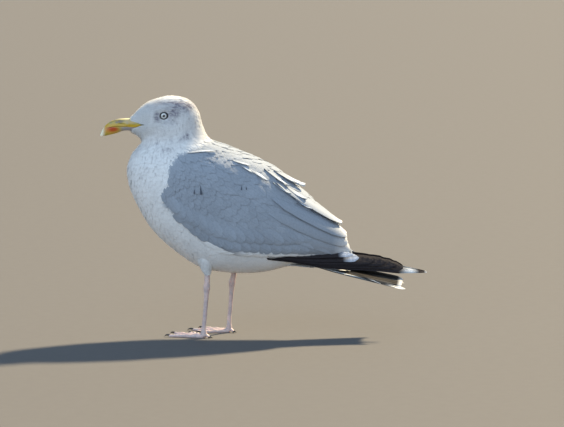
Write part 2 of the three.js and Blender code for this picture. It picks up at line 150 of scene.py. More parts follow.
@dataclass(frozen=True)
class Outline:
    """A closed outline in the side view."""

    corners: Array

    def depth(self, x: Array, z: Array) -> Array:
        """How far inside the outline each point is, and below zero outside.

        Args:
            x: Places along the bird.
            z: Heights.

        Returns:
            Distances in metres.
        """
        shape, chunk = np.shape(x), 40000
        p = np.stack([np.ravel(x), np.ravel(z)], axis=-1)
        a, b = self.corners, np.roll(self.corners, -1, axis=0)
        found = [self._depth_of(p[i:i + chunk], a, b) for i in range(0, len(p), chunk)]
        return np.concatenate(found).reshape(shape) if found else np.zeros(shape)

    @staticmethod
    def _depth_of(p: Array, a: Array, b: Array) -> Array:
        """The depth of a chunk of points for edges from a to b."""
        edge = b - a
        rel = p[:, None] - a
        share = np.clip(dot(rel, edge) / dot(edge, edge), 0, 1)
        near = np.sqrt(np.min(dot(rel - share[..., None] * edge, rel - share[..., None] * edge), axis=1))
        above = (a[:, 1] > p[:, None, 1]) != (b[:, 1] > p[:, None, 1])
        rise = np.where(edge[:, 1] == 0, 1, edge[:, 1])
        crossing = a[:, 0] + (p[:, None, 1] - a[:, 1]) / rise * edge[:, 0]
        odd = np.sum(above & (p[:, None, 0] < crossing), axis=1) % 2
        return np.where(odd == 1, near, -near)


# ---- The bird's whole form ----

STATIONS = MM * np.array([
    # back x, back z, front x, front z and half width in mm; from the bill's base to the tertials
    (-202, 328, -198, 307, 8.5),
    (-179, 350, -187.5, 299.5, 18),
    (-159, 358.7, -184.5, 295, 24),
    (-136.7, 362.5, -184, 292, 26),
    (-112, 356.3, -186, 289, 27),
    (-98, 340, -189, 285.5, 29),
    (-91, 317, -193.5, 280.5, 33),
    (-80, 297.5, -199.5, 271.5, 42),
    (-48, 283, -205.5, 247.5, 55),
    (-16, 270, -195.6, 209.6, 64),
    (16, 254, -163, 155.6, 68),
    (49, 227, -103.5, 108, 65),
    (78, 201, -54, 96, 57),
    (104, 176, -3, 96.5, 45),
    (122, 154, 46.5, 107, 31),
    (131, 134, 103, 112, 14),
])
LAST_STATION = len(STATIONS) - 1
ROUNDNESS = 2.15  # exponent of the slices' outline, 2 is an ellipse

WING_LOWER_EDGE = [
    (-0.144, 0.260), (-0.145, 0.241), (-0.1545, 0.226), (-0.154, 0.208), (-0.137, 0.194), (-0.101, 0.1645),
    (-0.076, 0.146), (-0.060, 0.1365), (-0.030, 0.1285), (0.012, 0.1265), (0.054, 0.123), (0.108, 0.1175),
]
WING_REAR = [(0.120, 0.121), (0.150, 0.134), (0.150, 0.330), (-0.083, 0.330)]
MANTLE_FRONT = [(-0.083, 0.299), (-0.104, 0.291), (-0.127, 0.282), (-0.140, 0.269)]
GREY_OUTLINE = Outline(np.vstack([spread(WING_LOWER_EDGE, 34), WING_REAR, MANTLE_FRONT]))
HORN_TOP = [(-0.2045, 0.3300), (-0.2015, 0.3275), (-0.1985, 0.3252), (-0.1895, 0.3224), (-0.1840, 0.3212)]
HORN_BOTTOM = [(-0.1840, 0.3189), (-0.1895, 0.3164), (-0.1985, 0.3127), (-0.2035, 0.3085)]
GAPE = (-0.1787, 0.3204)  # the mouth's corner
HORN_FRONT = [(-0.2045, 0.300), (-0.260, 0.300), (-0.260, 0.335)]
HORN_OUTLINE = Outline(np.vstack([HORN_TOP, [GAPE], HORN_BOTTOM, HORN_FRONT]))


@dataclass(frozen=True)
class Swell:
    """A soft rise or hollow in the side of the head, its place and reach in mm."""

    x: float
    z: float
    reach_x: float
    reach_z: float
    height: float

    def at(self, x: Array, z: Array) -> Array:
        """The rise at each point of the side view."""
        along, up = (x / MM - self.x) / self.reach_x, (z / MM - self.z) / self.reach_z
        return self.height * np.exp(-along**2 - up**2)


class Form:
    """A surface with a place for each pair of a number along it and an angle round it."""

    def base(self, s: Array, a: Array) -> Array:
        """The bare surface's points."""
        raise NotImplementedError

    def layer(self, point: Array) -> Array:
        """How far the skin and coat lie above the bare surface."""
        return np.zeros(point.shape[:-1])

    def slopes(self, s: Array, a: Array) -> tuple[Array, Array, Array]:
        """The surface's points, with its slopes along and around.

        Args:
            s: Numbers along.
            a: Angles round.

        Returns:
            Points, slopes by number and slopes by angle.
        """
        step = 2e-3
        here = self.base(s, a)
        ahead = (self.base(s + step, a) - self.base(s - step, a)) / (2 * step)
        round_ = (self.base(s, a + step) - self.base(s, a - step)) / (2 * step)
        return here, ahead, round_

    def walk(self, s: Array, a: Array, way: Array, distance: Array) -> tuple[Array, Array]:
        """Where a short walk over the surface ends.

        Args:
            s: Numbers along, at the start.
            a: Angles round, at the start.
            way: Directions in space.
            distance: Lengths of the walks, in metres.

        Returns:
            Numbers along and angles round, at the end.
        """
        _, ahead, round_ = self.slopes(s, a)
        normal = unit(np.cross(ahead, round_))
        flat = unit(way - dot(way, normal)[..., None] * normal) * np.asarray(distance)[..., None]
        e, f, g = dot(ahead, ahead), dot(ahead, round_), dot(round_, round_)
        b1, b2 = dot(flat, ahead), dot(flat, round_)
        spare = np.maximum(e * g - f * f, 1e-14)
        return s + (g * b1 - f * b2) / spare, a + (e * b2 - f * b1) / spare

    def place(self, s: Array, a: Array, height: Array) -> tuple[Array, Array]:
        """Points at a height over the surface, with its normals."""
        here, ahead, round_ = self.slopes(s, a)
        normal = unit(np.cross(ahead, round_))
        lift = self.layer(here) + height
        return here + lift[..., None] * normal, normal


@dataclass(frozen=True)
class BodyForm(Form):
    """Head, neck and body in one, as slices between the back line and the belly line."""

    face: tuple = (
        Swell(-149, 334, 9.5, 8.5, -0.0022),  # socket
        Swell(-155, 345.5, 14, 5.5, 0.0018),  # brow
        Swell(-149, 313.5, 19, 10.5, 0.0022),  # cheek
        Swell(-178, 327, 10, 7, -0.0012),  # lores
        Swell(-116, 322, 14, 16, 0.0010),  # ear coverts
    )
    flank_drop: float = 0.0028  # how far the flank lies under the wing's edge
    flank_reach: float = 0.016
    edge_roll: tuple = (-0.001, 0.0055)  # depths inside the outline where the wing's edge rolls

    def base(self, s: Array, a: Array) -> Array:
        """The plumage's outer form; number 0 is the bill's base and angle 0 the back."""
        row = along_curve(STATIONS, s)
        back, front = row[..., 0:2], row[..., 2:4]
        middle, rise = (back + front) / 2, (back - front) / 2
        up, out = (np.sign(v) * np.abs(v) ** (2 / ROUNDNESS) for v in (np.cos(a), np.sin(a)))
        flat = middle + rise * up[..., None]
        swell = sum(part.at(flat[..., 0], flat[..., 1]) for part in self.face)
        half = np.maximum(row[..., 4], 0.002) + swell * np.abs(out)
        return np.stack([flat[..., 0], half * out, flat[..., 1]], axis=-1)

    def layer(self, point: Array) -> Array:
        """The drop of the flank and breast beside the wing's edge."""
        depth = GREY_OUTLINE.depth(point[..., 0], point[..., 2])
        outside = 1 - ramp(depth, *self.edge_roll)
        behind_neck = 1 - ramp(point[..., 2], 0.262, 0.285)
        return -self.flank_drop * outside * behind_neck * np.exp(np.minimum(depth, 0) / self.flank_reach)

    def find(self, x: Array, z: Array, side: Side) -> tuple[Array, Array]:
        """The numbers and angles of points given in the side view.

        Args:
            x: Places along the bird.
            z: Heights.
            side: The side of the bird.

        Returns:
            Numbers along and angles round.
        """
        grids = np.meshgrid(np.linspace(0, LAST_STATION + 0.4, 150), np.linspace(BELLY, 2 * BELLY, 70))
        s_grid, a_grid = (numbers.ravel() for numbers in grids)
        grid = self.base(s_grid, a_grid)
        apart = (x[:, None] - grid[:, 0]) ** 2 + (z[:, None] - grid[:, 2]) ** 2
        best = np.argmin(apart, axis=1)
        s, a = s_grid[best], a_grid[best]
        for _ in range(6):
            here, ahead, round_ = self.slopes(s, a)
            miss_x, miss_z = x - here[:, 0], z - here[:, 2]
            size = ahead[:, 0] * round_[:, 2] - ahead[:, 2] * round_[:, 0]
            size = np.where(np.abs(size) < 1e-5, np.inf, size)
            s = s + np.clip((miss_x * round_[:, 2] - miss_z * round_[:, 0]) / size, -0.1, 0.1)
            a = a + np.clip((ahead[:, 0] * miss_z - ahead[:, 2] * miss_x) / size, -0.1, 0.1)
            a = np.clip(a, BELLY, 2 * BELLY)
        return s, a if side is Side.LEFT else 2 * BELLY - a


@dataclass(frozen=True)
class LimbForm(Form):
    """A round limb along a curve, with a radius at each stop: x, y, z, radius."""

    stops: Array

    def base(self, s: Array, a: Array) -> Array:
        """The limb's surface; number 0 is its first stop."""
        step = 1e-3
        centre = along_curve(self.stops, s)
        way = unit((along_curve(self.stops, s + step) - centre)[..., :3])
        reference = np.where(np.abs(way[..., 2:3]) > 0.75, [1.0, 0, 0], [0, 0, 1.0])
        across = unit(np.cross(way, reference))
        lift = np.cross(across, way)
        ring = across * np.cos(a)[..., None] + lift * np.sin(a)[..., None]
        return centre[..., :3] + centre[..., 3:4] * ring


# ---- Meshes from arrays ----


def new_object(name: str, data: ID) -> Object:
    """A new object in the scene, for a mesh, a light or a camera."""
    made = bpy.data.objects.new(name, data)
    bpy.context.scene.collection.objects.link(made)
    return made


def make_object(name: str, mesh: Mesh, material: Material) -> Object:
    """A new object that shows a mesh in a material."""
    mesh.materials.append(material)
    return new_object(name, mesh)


def mesh_of(name: str, points: Array, corners: Array, sizes: Array, inside_out: bool = False) -> Mesh:
    """A smooth-shaded mesh from arrays.

    Args:
        name: The mesh's name.
        points: One row for each vertex.
        corners: The vertex of each face corner, face by face.
        sizes: How many corners each face has.
        inside_out: Whether the faces are turned over.

    Returns:
        The mesh.
    """
    starts = np.concatenate([[0], np.cumsum(sizes)[:-1]])
    if inside_out:
        place = np.arange(len(corners)) - np.repeat(starts, sizes)
        corners = corners[np.repeat(starts, sizes) + (np.repeat(sizes, sizes) - 1 - place)]
    mesh = bpy.data.meshes.new(name)
    mesh.vertices.add(len(points))
    mesh.vertices.foreach_set("co", np.ascontiguousarray(points, np.float32).ravel())
    mesh.loops.add(len(corners))
    mesh.loops.foreach_set("vertex_index", corners.astype(np.int32))
    mesh.polygons.add(len(sizes))
    mesh.polygons.foreach_set("loop_start", starts.astype(np.int32))
    mesh.update(calc_edges=True)
    mesh.polygons.foreach_set("use_smooth", np.ones(len(sizes), bool))
    return mesh


def set_map(mesh: Mesh, name: str, places: Array) -> None:
    """Gives a mesh's UV map one place for each vertex."""
    corners = np.empty(len(mesh.loops), np.int32)
    mesh.loops.foreach_get("vertex_index", corners)
    layer = mesh.uv_layers.get(name) or mesh.uv_layers.new(name=name)
    layer.data.foreach_set("uv", places.reshape(-1, 2)[corners].astype(np.float32).ravel())


def add_tint(mesh: Mesh, tint: Array) -> None:
    """Adds the colour attribute from one colour for each vertex."""
    colours = np.concatenate([tint, np.ones((len(tint), 1))], axis=1).astype(np.float32)
    mesh.color_attributes.new(name="tint", type="FLOAT_COLOR", domain="POINT").data.foreach_set(
        "color", colours.ravel())


def tube(rings: Array, poles: Array) -> tuple[Array, Array, Array]:
    """The points and faces of closed tubes, each from rings of points and a pole at both ends.

    Args:
        rings: Points by tube, ring and place in the ring.
        poles: Points by tube and end.

    Returns:
        Points, face corners and face sizes.
    """
    count, rows, round_ = rings.shape[:3]
    k = np.arange(round_)
    after = (k + 1) % round_
    quads = [np.stack([r * round_ + k, r * round_ + after, (r + 1) * round_ + after, (r + 1) * round_ + k], 1)
             for r in range(rows - 1)]
    first, last = rows * round_, rows * round_ + 1
    near = np.stack([np.full(round_, first), after, k], 1)
    far = np.stack([np.full(round_, last), (rows - 1) * round_ + k, (rows - 1) * round_ + after], 1)
    pattern = np.concatenate([np.concatenate(quads).ravel() if quads else [], near.ravel(), far.ravel()])
    sizes = np.concatenate([np.full((rows - 1) * round_, 4), np.full(2 * round_, 3)])
    each = rows * round_ + 2
    corners = (pattern[None, :] + np.arange(count)[:, None] * each).ravel().astype(np.int64)
    points = np.concatenate([rings.reshape(count, -1, 3), poles], axis=1).reshape(-1, 3)
    return points, corners, np.tile(sizes, count)


def inside_out(points: Array, corners: Array, sizes: Array) -> bool:
    """Whether a closed mesh's faces point inwards, by the sign of its volume."""
    starts = np.concatenate([[0], np.cumsum(sizes)[:-1]])
    total = 0.0
    for k in range(1, int(sizes.max()) - 1):
        has = sizes > k + 1
        a, b, c = (points[corners[starts[has] + j]] for j in (0, k, k + 1))
        total += float(np.sum(dot(a, np.cross(b, c))))
    return total < 0


def ends_of(rings: Array) -> Array:
    """The middles of each tube's first and last ring, as its poles."""
    return rings[:, [0, -1]].mean(axis=2)


def tube_piece(name: str, rings: Array, poles: Array, material: Material) -> Object:
    """An object of closed tubes, with its faces outwards."""
    points, corners, sizes = tube(rings, poles)
    mesh = mesh_of(name, points, corners, sizes, inside_out(points - points.mean(0), corners, sizes))
    return make_object(name, mesh, material)


def joined(tubes: list[tuple[Array, Array]]) -> tuple[Array, Array, Array]:
    """Joins sets of closed tubes, with the faces of each set outwards and its points in their order.

    Args:
        tubes: Rings and poles of each set, as the tube function takes them.

    Returns:
        Points, face corners and face sizes.
    """
    points, corners, sizes, start = [], [], [], 0
    for rings, poles in tubes:
        p, c, n = tube(rings, poles)
        if inside_out(p - p.mean(0), c, n):
            rows, round_ = rings.shape[1:3]
            each = rows * round_ + 2
            order = np.arange(each)
            order[:-2] = order[:-2].reshape(rows, round_)[:, ::-1].ravel()
            c = order[c % each] + c // each * each
        points.append(p)
        corners.append(c + start)
        sizes.append(n)
        start += len(p)
    return np.concatenate(points), np.concatenate(corners), np.concatenate(sizes)


def ring_grid(first: float, last: float, rows: int, columns: int) -> tuple[Array, ...]:
    """A number for each row, from first to last, and an angle for each column, once round."""
    angles = np.arange(columns) / columns * math.tau
    return tuple(np.meshgrid(np.linspace(first, last, rows), angles, indexing="ij"))


# ---- Colours and finishes ----


class Tints:
    """The plumage's own colours, and some painted shade, as linear red, green and blue."""

    white: Array = np.array([0.80, 0.80, 0.79])
    grey: Array = np.array([0.305, 0.345, 0.40])
    # painted shade in the gaps where the feathers part
    slit: Array = np.array([0.060, 0.072, 0.098])
    # painted shade: the shadow of the wings over the white tail
    tail_shade: Array = np.array([0.024, 0.019, 0.015])
    # white painted in shade, for the shorter primaries' ends under the tertials
    shaded: Array = np.array([0.50, 0.53, 0.60])
    streak: Array = np.array([0.205, 0.190, 0.235])
    black: Array = np.array([0.030, 0.025, 0.027])


EYE_AT = (-0.149, -0.0173, 0.334)  # the left eye's middle


@dataclass(frozen=True)
class Markings:
    """Where the plumage is white, grey or streaked, for skin and coat alike."""

    smudges: tuple = (
        Swell(-159.2, 332.5, 4.2, 7, 1.25),  # dark lore before the eye
        Swell(-135, 337, 10.5, 6.2, 1.05),  # behind the eye
        Swell(-124, 347, 15.5, 5.6, 0.92),  # over it, towards the rear crown
        Swell(-113, 343, 6, 6, 0.38),
        Swell(-141, 325.5, 13, 4.2, 0.42),  # below the eye
        Swell(-140, 353, 18, 3, 0.42),  # crown stripe
        Swell(-114.3, 304.5, 2.4, 5, 1.05),  # streaks down the side of the neck
        Swell(-119, 303, 1.8, 4.5, 0.80),
        Swell(-124, 299, 2.8, 3.4, 0.75),
        Swell(-137.5, 297.5, 2.4, 3.4, 0.45),
        Swell(-141.8, 285.5, 4, 2.8, 0.65),
        Swell(-149.8, 284, 2.2, 3.4, 0.60),
        Swell(-159, 292, 1.8, 6, 0.45),
        Swell(-174.6, 258, 2, 2.8, 0.55),
        Swell(-182.8, 243.1, 2, 2.5, 0.45),
    )
    soft_edge: tuple = (0.0006, 0.0045)  # how far grey fades to white, at the wing and at the mantle

    def tint(self, points: Array, roots: Array | None = None, seed: int = 5) -> Array:
        """The plumage's colour at each point, with painted shade on the head.

        Args:
            points: Places on the bird.
            roots: Places that decide between grey and white, if not the points.
            seed: Number that varies the streaks.

        Returns:
            Linear colours.
        """
        roots = points if roots is None else roots
        x, z = roots[..., 0], roots[..., 2]
        grey = GREY_OUTLINE.depth(x, z) + (clouds(roots, 0.006, seed) - 0.5) * 0.003
        soft = mix(*self.soft_edge, ramp(z, 0.262, 0.283))
        # the whites above z 0.29 to 0.31, the head, are painted up to 12% darker: painted shade
        shade = 0.95 + 0.08 * clouds(points, 0.018, seed + 1) - 0.12 * ramp(points[..., 2], 0.290, 0.312)
        white = Tints.white * shade[..., None]
        streaked = mix(white, Tints.streak, self.streaks(points, seed)[..., None])
        slate = Tints.grey * (0.93 + 0.14 * clouds(points, 0.026, seed + 2))[..., None]
        return mix(streaked, slate, ramp(grey, -soft, soft)[..., None])

    def streaks(self, points: Array, seed: int) -> Array:
        """How much of the streaks' colour each point has."""
        x, z = points[..., 0], points[..., 2]
        cover = sum(smudge.at(x, z) for smudge in self.smudges)
        crown = ramp(z, 0.336, 0.350) * (1 - ramp(z, 0.353, 0.361)) * ramp(x, -0.185, -0.165)
        nape = ramp(x, -0.125, -0.105) * ramp(z, 0.285, 0.31) * (1 - ramp(x, -0.100, -0.088))
        cover = cover + 0.30 * crown + 0.17 * nape
        across, up = (x - EYE_AT[0]) / 0.0070, (z - EYE_AT[2]) / 0.0059
        pale_lids = np.exp(-((np.hypot(across, up) - 1.16) / 0.15) ** 2) * ramp(np.abs(up), 0.65, 0.95)
        cover = np.clip(cover, 0, 1) * (1 - pale_lids)
        fine = clouds(points * np.array([0.22, 1, 1]), 0.0011, seed + 3)
        return np.clip(cover, 0, 0.92) * (0.42 + 0.68 * ramp(fine, 0.25, 0.75))


MARKINGS = Markings()


def feed(tree: NodeTree, node: Node, inputs: dict) -> None:
    """Sets or links a node's inputs, each by its name or number."""
    for key, value in inputs.items():
        socket = node.inputs[key]
        if isinstance(value, NodeSocket):
            tree.links.new(value, socket)
        elif socket.type == "RGBA":
            socket.default_value = (*value, 1.0)
        else:
            socket.default_value = value


def add_node(tree: NodeTree, kind: str, inputs: dict | None = None, **settings: object) -> Node:
    """Adds a node to a tree.

    Args:
        tree: The tree.
        kind: The node's type.
        inputs: Values or sockets by the input's name or number.
        settings: The node's own settings.

    Returns:
        The node.
    """
    made = tree.nodes.new(kind)
    for key, value in settings.items():
        setattr(made, key, value)
    feed(tree, made, inputs or {})
    return made


class Recipe:
    """A material's node tree, built one node at a time."""

    def __init__(self, name: str) -> None:
        """Starts a material with its shader alone."""
        self.material = bpy.data.materials.new(name)
        self.material.use_nodes = True
        self.tree = self.material.node_tree
        self.shader = self.tree.nodes["Principled BSDF"]

    def node(self, kind: str, inputs: dict | None = None, **settings: object) -> Node:
        """Adds a shader node, its kind given less the ShaderNode prefix."""
        return add_node(self.tree, "ShaderNode" + kind, inputs, **settings)

    def shade(self, inputs: dict) -> Material:
        """Feeds the shader, and gives the finished material."""
        feed(self.tree, self.shader, inputs)
        return self.material

    def maths(self, operation: str, a: object, b: object = 0.0, c: object = 0.0) -> NodeSocket:
        """The result of a Math node."""
        return self.node("Math", {0: a, 1: b, 2: c}, operation=operation).outputs[0]

    def blend(self, share: object, a: object, b: object, mode: str = "MIX") -> NodeSocket:
        """The colour between a and b."""
        return self.node("Mix", {0: share, 6: a, 7: b}, data_type="RGBA", blend_type=mode).outputs[2]

    def band(self, value: object, low: float, high: float, to: tuple = (0.0, 1.0)) -> NodeSocket:
        """A smooth step of a value, from low to high."""
        inputs = {"Value": value, "From Min": low, "From Max": high, "To Min": to[0], "To Max": to[1]}
        return self.node("MapRange", inputs, interpolation_type="SMOOTHSTEP").outputs[0]

    def reach(self, x: object, z: object) -> NodeSocket:
        """The distance that x and z make together."""
        return self.maths("SQRT", self.maths("ADD", self.maths("POWER", x, 2.0), self.maths("POWER", z, 2.0)))

    def object_place(self) -> NodeSocket:
        """The surface point in the object's own axes."""
        return self.node("TexCoord").outputs["Object"]

    def noise(self, place: object, scale: float, detail: float = 3.0) -> NodeSocket:
        """Fractal noise over a place."""
        return self.node("TexNoise", {"Vector": place, "Scale": scale, "Detail": detail}).outputs[0]

    def bump(self, height: object, strength: float, distance: float) -> NodeSocket:
        """A bumped normal."""
        return self.node("Bump", {"Height": height, "Strength": strength, "Distance": distance}).outputs[0]


@dataclass(frozen=True)
class PlumageFinish:
    """Feathers: their own tint, with a shaft and barbs along the vane."""

    name: str
    roughness: float = 0.75
    sheen: float = 0.15
    shaft: float = 0.0  # how dark the shaft is
    barbs: float = 0.10  # how strong the barbs' light and dark is
    relief: float = 0.25
    gloss: float = 0.25

    def make(self) -> Material:
        """The finish as a material."""
        r = Recipe(self.name)
        tint = r.node("Attribute", attribute_name="tint").outputs["Color"]
        vane = r.node("UVMap", uv_map="Vane").outputs[0]
        split = r.node("SeparateXYZ", {0: vane})
        across = r.maths("ABSOLUTE", r.maths("SUBTRACT", split.outputs[0], 0.5))
        phase = r.maths("MULTIPLY_ADD", across, -26.0, r.maths("MULTIPLY", split.outputs[1], 42.0))
        wave = r.maths("SINE", r.maths("MULTIPLY", phase, math.tau))
        place = r.object_place()
        cloud = r.noise(place, 420.0, 2.0)
        grain = r.maths("MULTIPLY_ADD", wave, self.barbs * 0.5, 1.0)
        grain = r.maths("MULTIPLY", grain, r.band(cloud, 0.25, 0.75, (1 - self.barbs, 1 + self.barbs * 0.5)))
        shaft = r.band(across, 0.012, 0.035, (1 - self.shaft, 1.0))
        shade = r.maths("MULTIPLY", grain, shaft)
        shades = r.node("CombineColor", {0: shade, 1: shade, 2: shade}).outputs[0]
        colour = r.blend(1.0, tint, shades, "MULTIPLY")
        height = r.maths("MULTIPLY_ADD", wave, 0.5, cloud)
        return r.shade({
            "Base Color": colour, "Roughness": self.roughness, "Sheen Weight": self.sheen,
            "Sheen Roughness": 0.6, "Specular IOR Level": self.gloss,
            "Normal": r.bump(height, self.relief, 0.0003),
        })


@dataclass(frozen=True)
class SkinFinish:
    """The skin under the coat, with the coat's own markings."""

    name: str = "skin_under_coat"

    def make(self) -> Material:
        """The finish as a material."""
        r = Recipe(self.name)
        tint = r.node("Attribute", attribute_name="tint").outputs["Color"]
        down = r.noise(r.object_place(), 700.0)
        colour = r.blend(r.band(down, 0.3, 0.7), tint, r.blend(1.0, tint, (0.82, 0.82, 0.84), "MULTIPLY"))
        return r.shade({
            "Base Color": colour, "Roughness": 0.85, "Specular IOR Level": 0.2,
            "Normal": r.bump(down, 0.4, 0.0004),
        })


@dataclass(frozen=True)
class HornFinish:
    """The bill's horn: yellow, with smoky marks above the mouth and a red spot below it."""

    name: str = "bill_horn"
    yellow: tuple = (0.50, 0.355, 0.050)
    deep: tuple = (0.56, 0.35, 0.020)
    olive: tuple = (0.33, 0.29, 0.10)
    # painted highlight: the pale band along the bill's top, where the light falls
    ridge: tuple = (0.84, 0.76, 0.44)
    # painted shade: the greyish side of the lower half towards its base
    lower_shade: tuple = (0.36, 0.32, 0.31)
    smoke: tuple = (0.22, 0.16, 0.11)
    red: tuple = (0.50, 0.060, 0.006)
    orange: tuple = (0.66, 0.25, 0.035)
    pale: tuple = (0.95, 0.88, 0.70)
    gape: tuple = (0.16, 0.15, 0.085)
    spot: tuple = (-0.2262, 0.3123, 0.0092, 0.0044)  # x, z, reach along, reach up
    glow: tuple = (-0.2290, 0.3112, 0.0135, 0.0062)
    marks: tuple = (-0.2185, 0.3240, 0.0110, 0.0030)
    base: tuple = (-0.2010, 0.3245, 0.0120, 0.0045)
    cream: tuple = (0.58, 0.43, 0.23)
    corner: tuple = (-0.1800, 0.3205, 0.0060, 0.0016)
    tip: tuple = (-0.2365, -0.2425)

    def make(self) -> Material:
        """The finish as a material."""
        r = Recipe(self.name)
        place = r.object_place()
        split = r.node("SeparateXYZ", {0: place})
        x, z = split.outputs[0], split.outputs[2]
        mottle = r.noise(place, 190.0, 4.0)
        fine = r.noise(place, 900.0, 3.0)
        blob = partial(self.blob, r, x, z)
        upper = r.blend(r.band(mottle, 0.38, 0.68), self.yellow, self.olive)
        upper = r.blend(r.band(z, 0.3212, 0.3188), upper, self.deep)
        cream = r.maths("MULTIPLY", blob(self.base), 0.75)
        upper = r.blend(cream, upper, self.cream)
        # the pale band along the top is a painted highlight
        upper = r.blend(r.band(z, 0.3255, 0.3285), upper, self.ridge)
        smoky = r.maths("MULTIPLY", blob(self.marks), r.band(mottle, 0.44, 0.56, (0.15, 0.95)))
        upper = r.blend(smoky, upper, self.smoke)
        # painted shade: the lower half goes greyish towards its base
        lower = r.blend(r.band(x, -0.219, -0.208), self.yellow, self.lower_shade)
        red = r.maths("MULTIPLY", blob(self.spot), r.band(mottle, 0.2, 0.6, (0.82, 1.0)))
        lower = r.blend(r.maths("MULTIPLY", blob(self.glow), 0.8), lower, self.orange)
        lower = r.blend(red, lower, self.red)
        side = r.band(z, 0.3154, 0.3160)
        base = r.blend(side, lower, upper)
        base = r.blend(blob(self.corner), base, self.gape)
        base = r.blend(r.band(x, self.tip[0], self.tip[1], (0.0, 0.95)), base, self.pale)
        streak = r.node("Mapping", {"Vector": place, "Scale": (0.15, 1.0, 1.0)}).outputs[0]
        grain = r.noise(streak, 1200.0, 3.0)
        base = r.blend(0.12, base, r.node("ValToRGB", {0: grain}).outputs[0], "OVERLAY")
        return r.shade({
            "Base Color": base, "Roughness": r.band(fine, 0.2, 0.8, (0.32, 0.48)),
            "Coat Weight": 0.2, "Coat Roughness": 0.25, "Subsurface Weight": 0.10,
            "Subsurface Radius": (0.004, 0.002, 0.001), "Subsurface Scale": 0.5,
            "Normal": r.bump(r.maths("ADD", grain, mottle), 0.18, 0.0003),
        })

    @staticmethod
    def blob(r: Recipe, x: object, z: object, spot: tuple) -> NodeSocket:
        """A soft oval mask round a point of the side view."""
        far_x = r.maths("DIVIDE", r.maths("SUBTRACT", x, spot[0]), spot[2])
        far_z = r.maths("DIVIDE", r.maths("SUBTRACT", z, spot[1]), spot[3])
        return r.band(r.reach(far_x, far_z), 1.25, 0.35)


@dataclass(frozen=True)
class EyeFinish:
    """A wet eyeball: black pupil, pale iris and a dark rim, by distance from the eye's axis."""

    centre: tuple
    name: str
    pupil: float = 0.0019
    iris: float = 0.0044

    def make(self) -> Material:
        """The finish as a material."""
        r = Recipe(self.name)
        split = r.node("SeparateXYZ", {0: r.object_place()})
        x = r.maths("SUBTRACT", split.outputs[0], self.centre[0])
        z = r.maths("SUBTRACT", split.outputs[2], self.centre[2])
        apart = r.reach(x, z)
        turn = r.maths("ARCTAN2", z, x)
        spokes = {0: r.maths("MULTIPLY", turn, 9.0), 1: r.maths("MULTIPLY", apart, 300.0)}
        flecks = r.noise(r.node("CombineXYZ", spokes).outputs[0], 1.6, 4.0)
        iris = r.blend(r.band(flecks, 0.35, 0.7), (0.74, 0.76, 0.74), (0.50, 0.53, 0.52))
        iris = r.blend(r.band(apart, self.iris - 0.0005, self.iris), iris, (0.05, 0.045, 0.04))
        pupil = r.band(apart, self.pupil + 0.00025, self.pupil - 0.0001)
        colour = r.blend(pupil, iris, (0.004, 0.004, 0.005))
        return r.shade({
            "Base Color": colour, "Roughness": 0.22, "Coat Weight": 1.0, "Coat Roughness": 0.03,
            "Normal": r.bump(flecks, 0.1, 0.0001),
        })


@dataclass(frozen=True)
class HideFinish:
    """Bare skin: two tones in clouds over fine pebbling, with painted shade in the creases."""

    name: str
    light: tuple
    dark: tuple
    roughness: float = 0.5
    pebbles: float = 900.0
    relief: float = 0.3
    subsurface: float = 0.15

    def make(self) -> Material:
        """The finish as a material."""
        r = Recipe(self.name)
        place = r.object_place()
        cloud = r.noise(place, 110.0, 4.0)
        cells = r.node("TexVoronoi", {"Vector": place, "Scale": self.pebbles}).outputs["Distance"]
        colour = r.blend(r.band(cloud, 0.35, 0.68), self.light, self.dark)
        # painted shade in the creases between the pebbles
        crease_shade = r.blend(1.0, colour, (0.72, 0.66, 0.68), "MULTIPLY")
        colour = r.blend(r.band(cells, 0.45, 0.75, (0.0, 0.6)), colour, crease_shade)
        return r.shade({
            "Base Color": colour,
            "Roughness": r.band(cloud, 0.2, 0.8, (self.roughness - 0.1, self.roughness + 0.1)),
            "Subsurface Weight": self.subsurface, "Subsurface Radius": (0.006, 0.002, 0.0015),
            "Subsurface Scale": 0.4, "Normal": r.bump(r.maths("SUBTRACT", 1.0, cells), self.relief, 0.0004),
        })


@dataclass(frozen=True)
class FloorFinish:
    """A plain pale floor."""

    name: str = "pale_floor"
    colour: tuple = (0.105, 0.099, 0.093)

    def make(self) -> Material:
        """The finish as a material."""
        r = Recipe(self.name)
        grain = r.noise(r.object_place(), 60.0, 3.0)
        colour = r.blend(r.band(grain, 0.3, 0.7), self.colour, tuple(c * 0.96 for c in self.colour))
        return r.shade({"Base Color": colour, "Roughness": 0.8})


# ---- Feathers ----


@dataclass(frozen=True)
class Section:
    """A vane's cross-section: the loop of its points, across and up, in half widths and in camber."""

    across: tuple
    up: tuple
    under: tuple  # 1 where a point belongs to the underside


NARROW = Section((-1, 0, 1), (0, 1, 0), (0, 0, 0))
BROAD = Section(
    (-1, -0.55, 0, 0.55, 1, 0.55, 0, -0.55), (0, 0.7, 1, 0.7, 0, 0.7, 1, 0.7), (0, 0, 0, 0, 0, 1, 1, 1))


@dataclass(frozen=True)
class FeatherKind:
    """One make of feather.

    shares are the places of its rings from root to tip, and widths its half width at each, both as
    shares of the whole. The heights are in metres over the form.
    """

    shares: tuple = (0.10, 0.45, 0.80, 0.94)
    widths: tuple = (0.45, 1.0, 0.85, 0.45)
    section: Section = NARROW
    camber: float = 0.06
    root_height: float = -0.0018
    tip_height: float = 0.0001
    bend: float = 0.8  # how early along the vane it comes up
    thickness: float = 0.0004
    softness: float = 0.95  # how far its shading follows the form under it


SOFT = FeatherKind()
VANED = FeatherKind(
    shares=(0.06, 0.22, 0.42, 0.62, 0.80, 0.91, 0.975), widths=(0.35, 0.75, 0.95, 1.0, 0.93, 0.72, 0.40),
    section=BROAD, camber=0.07, tip_height=0.0002, softness=0.25)


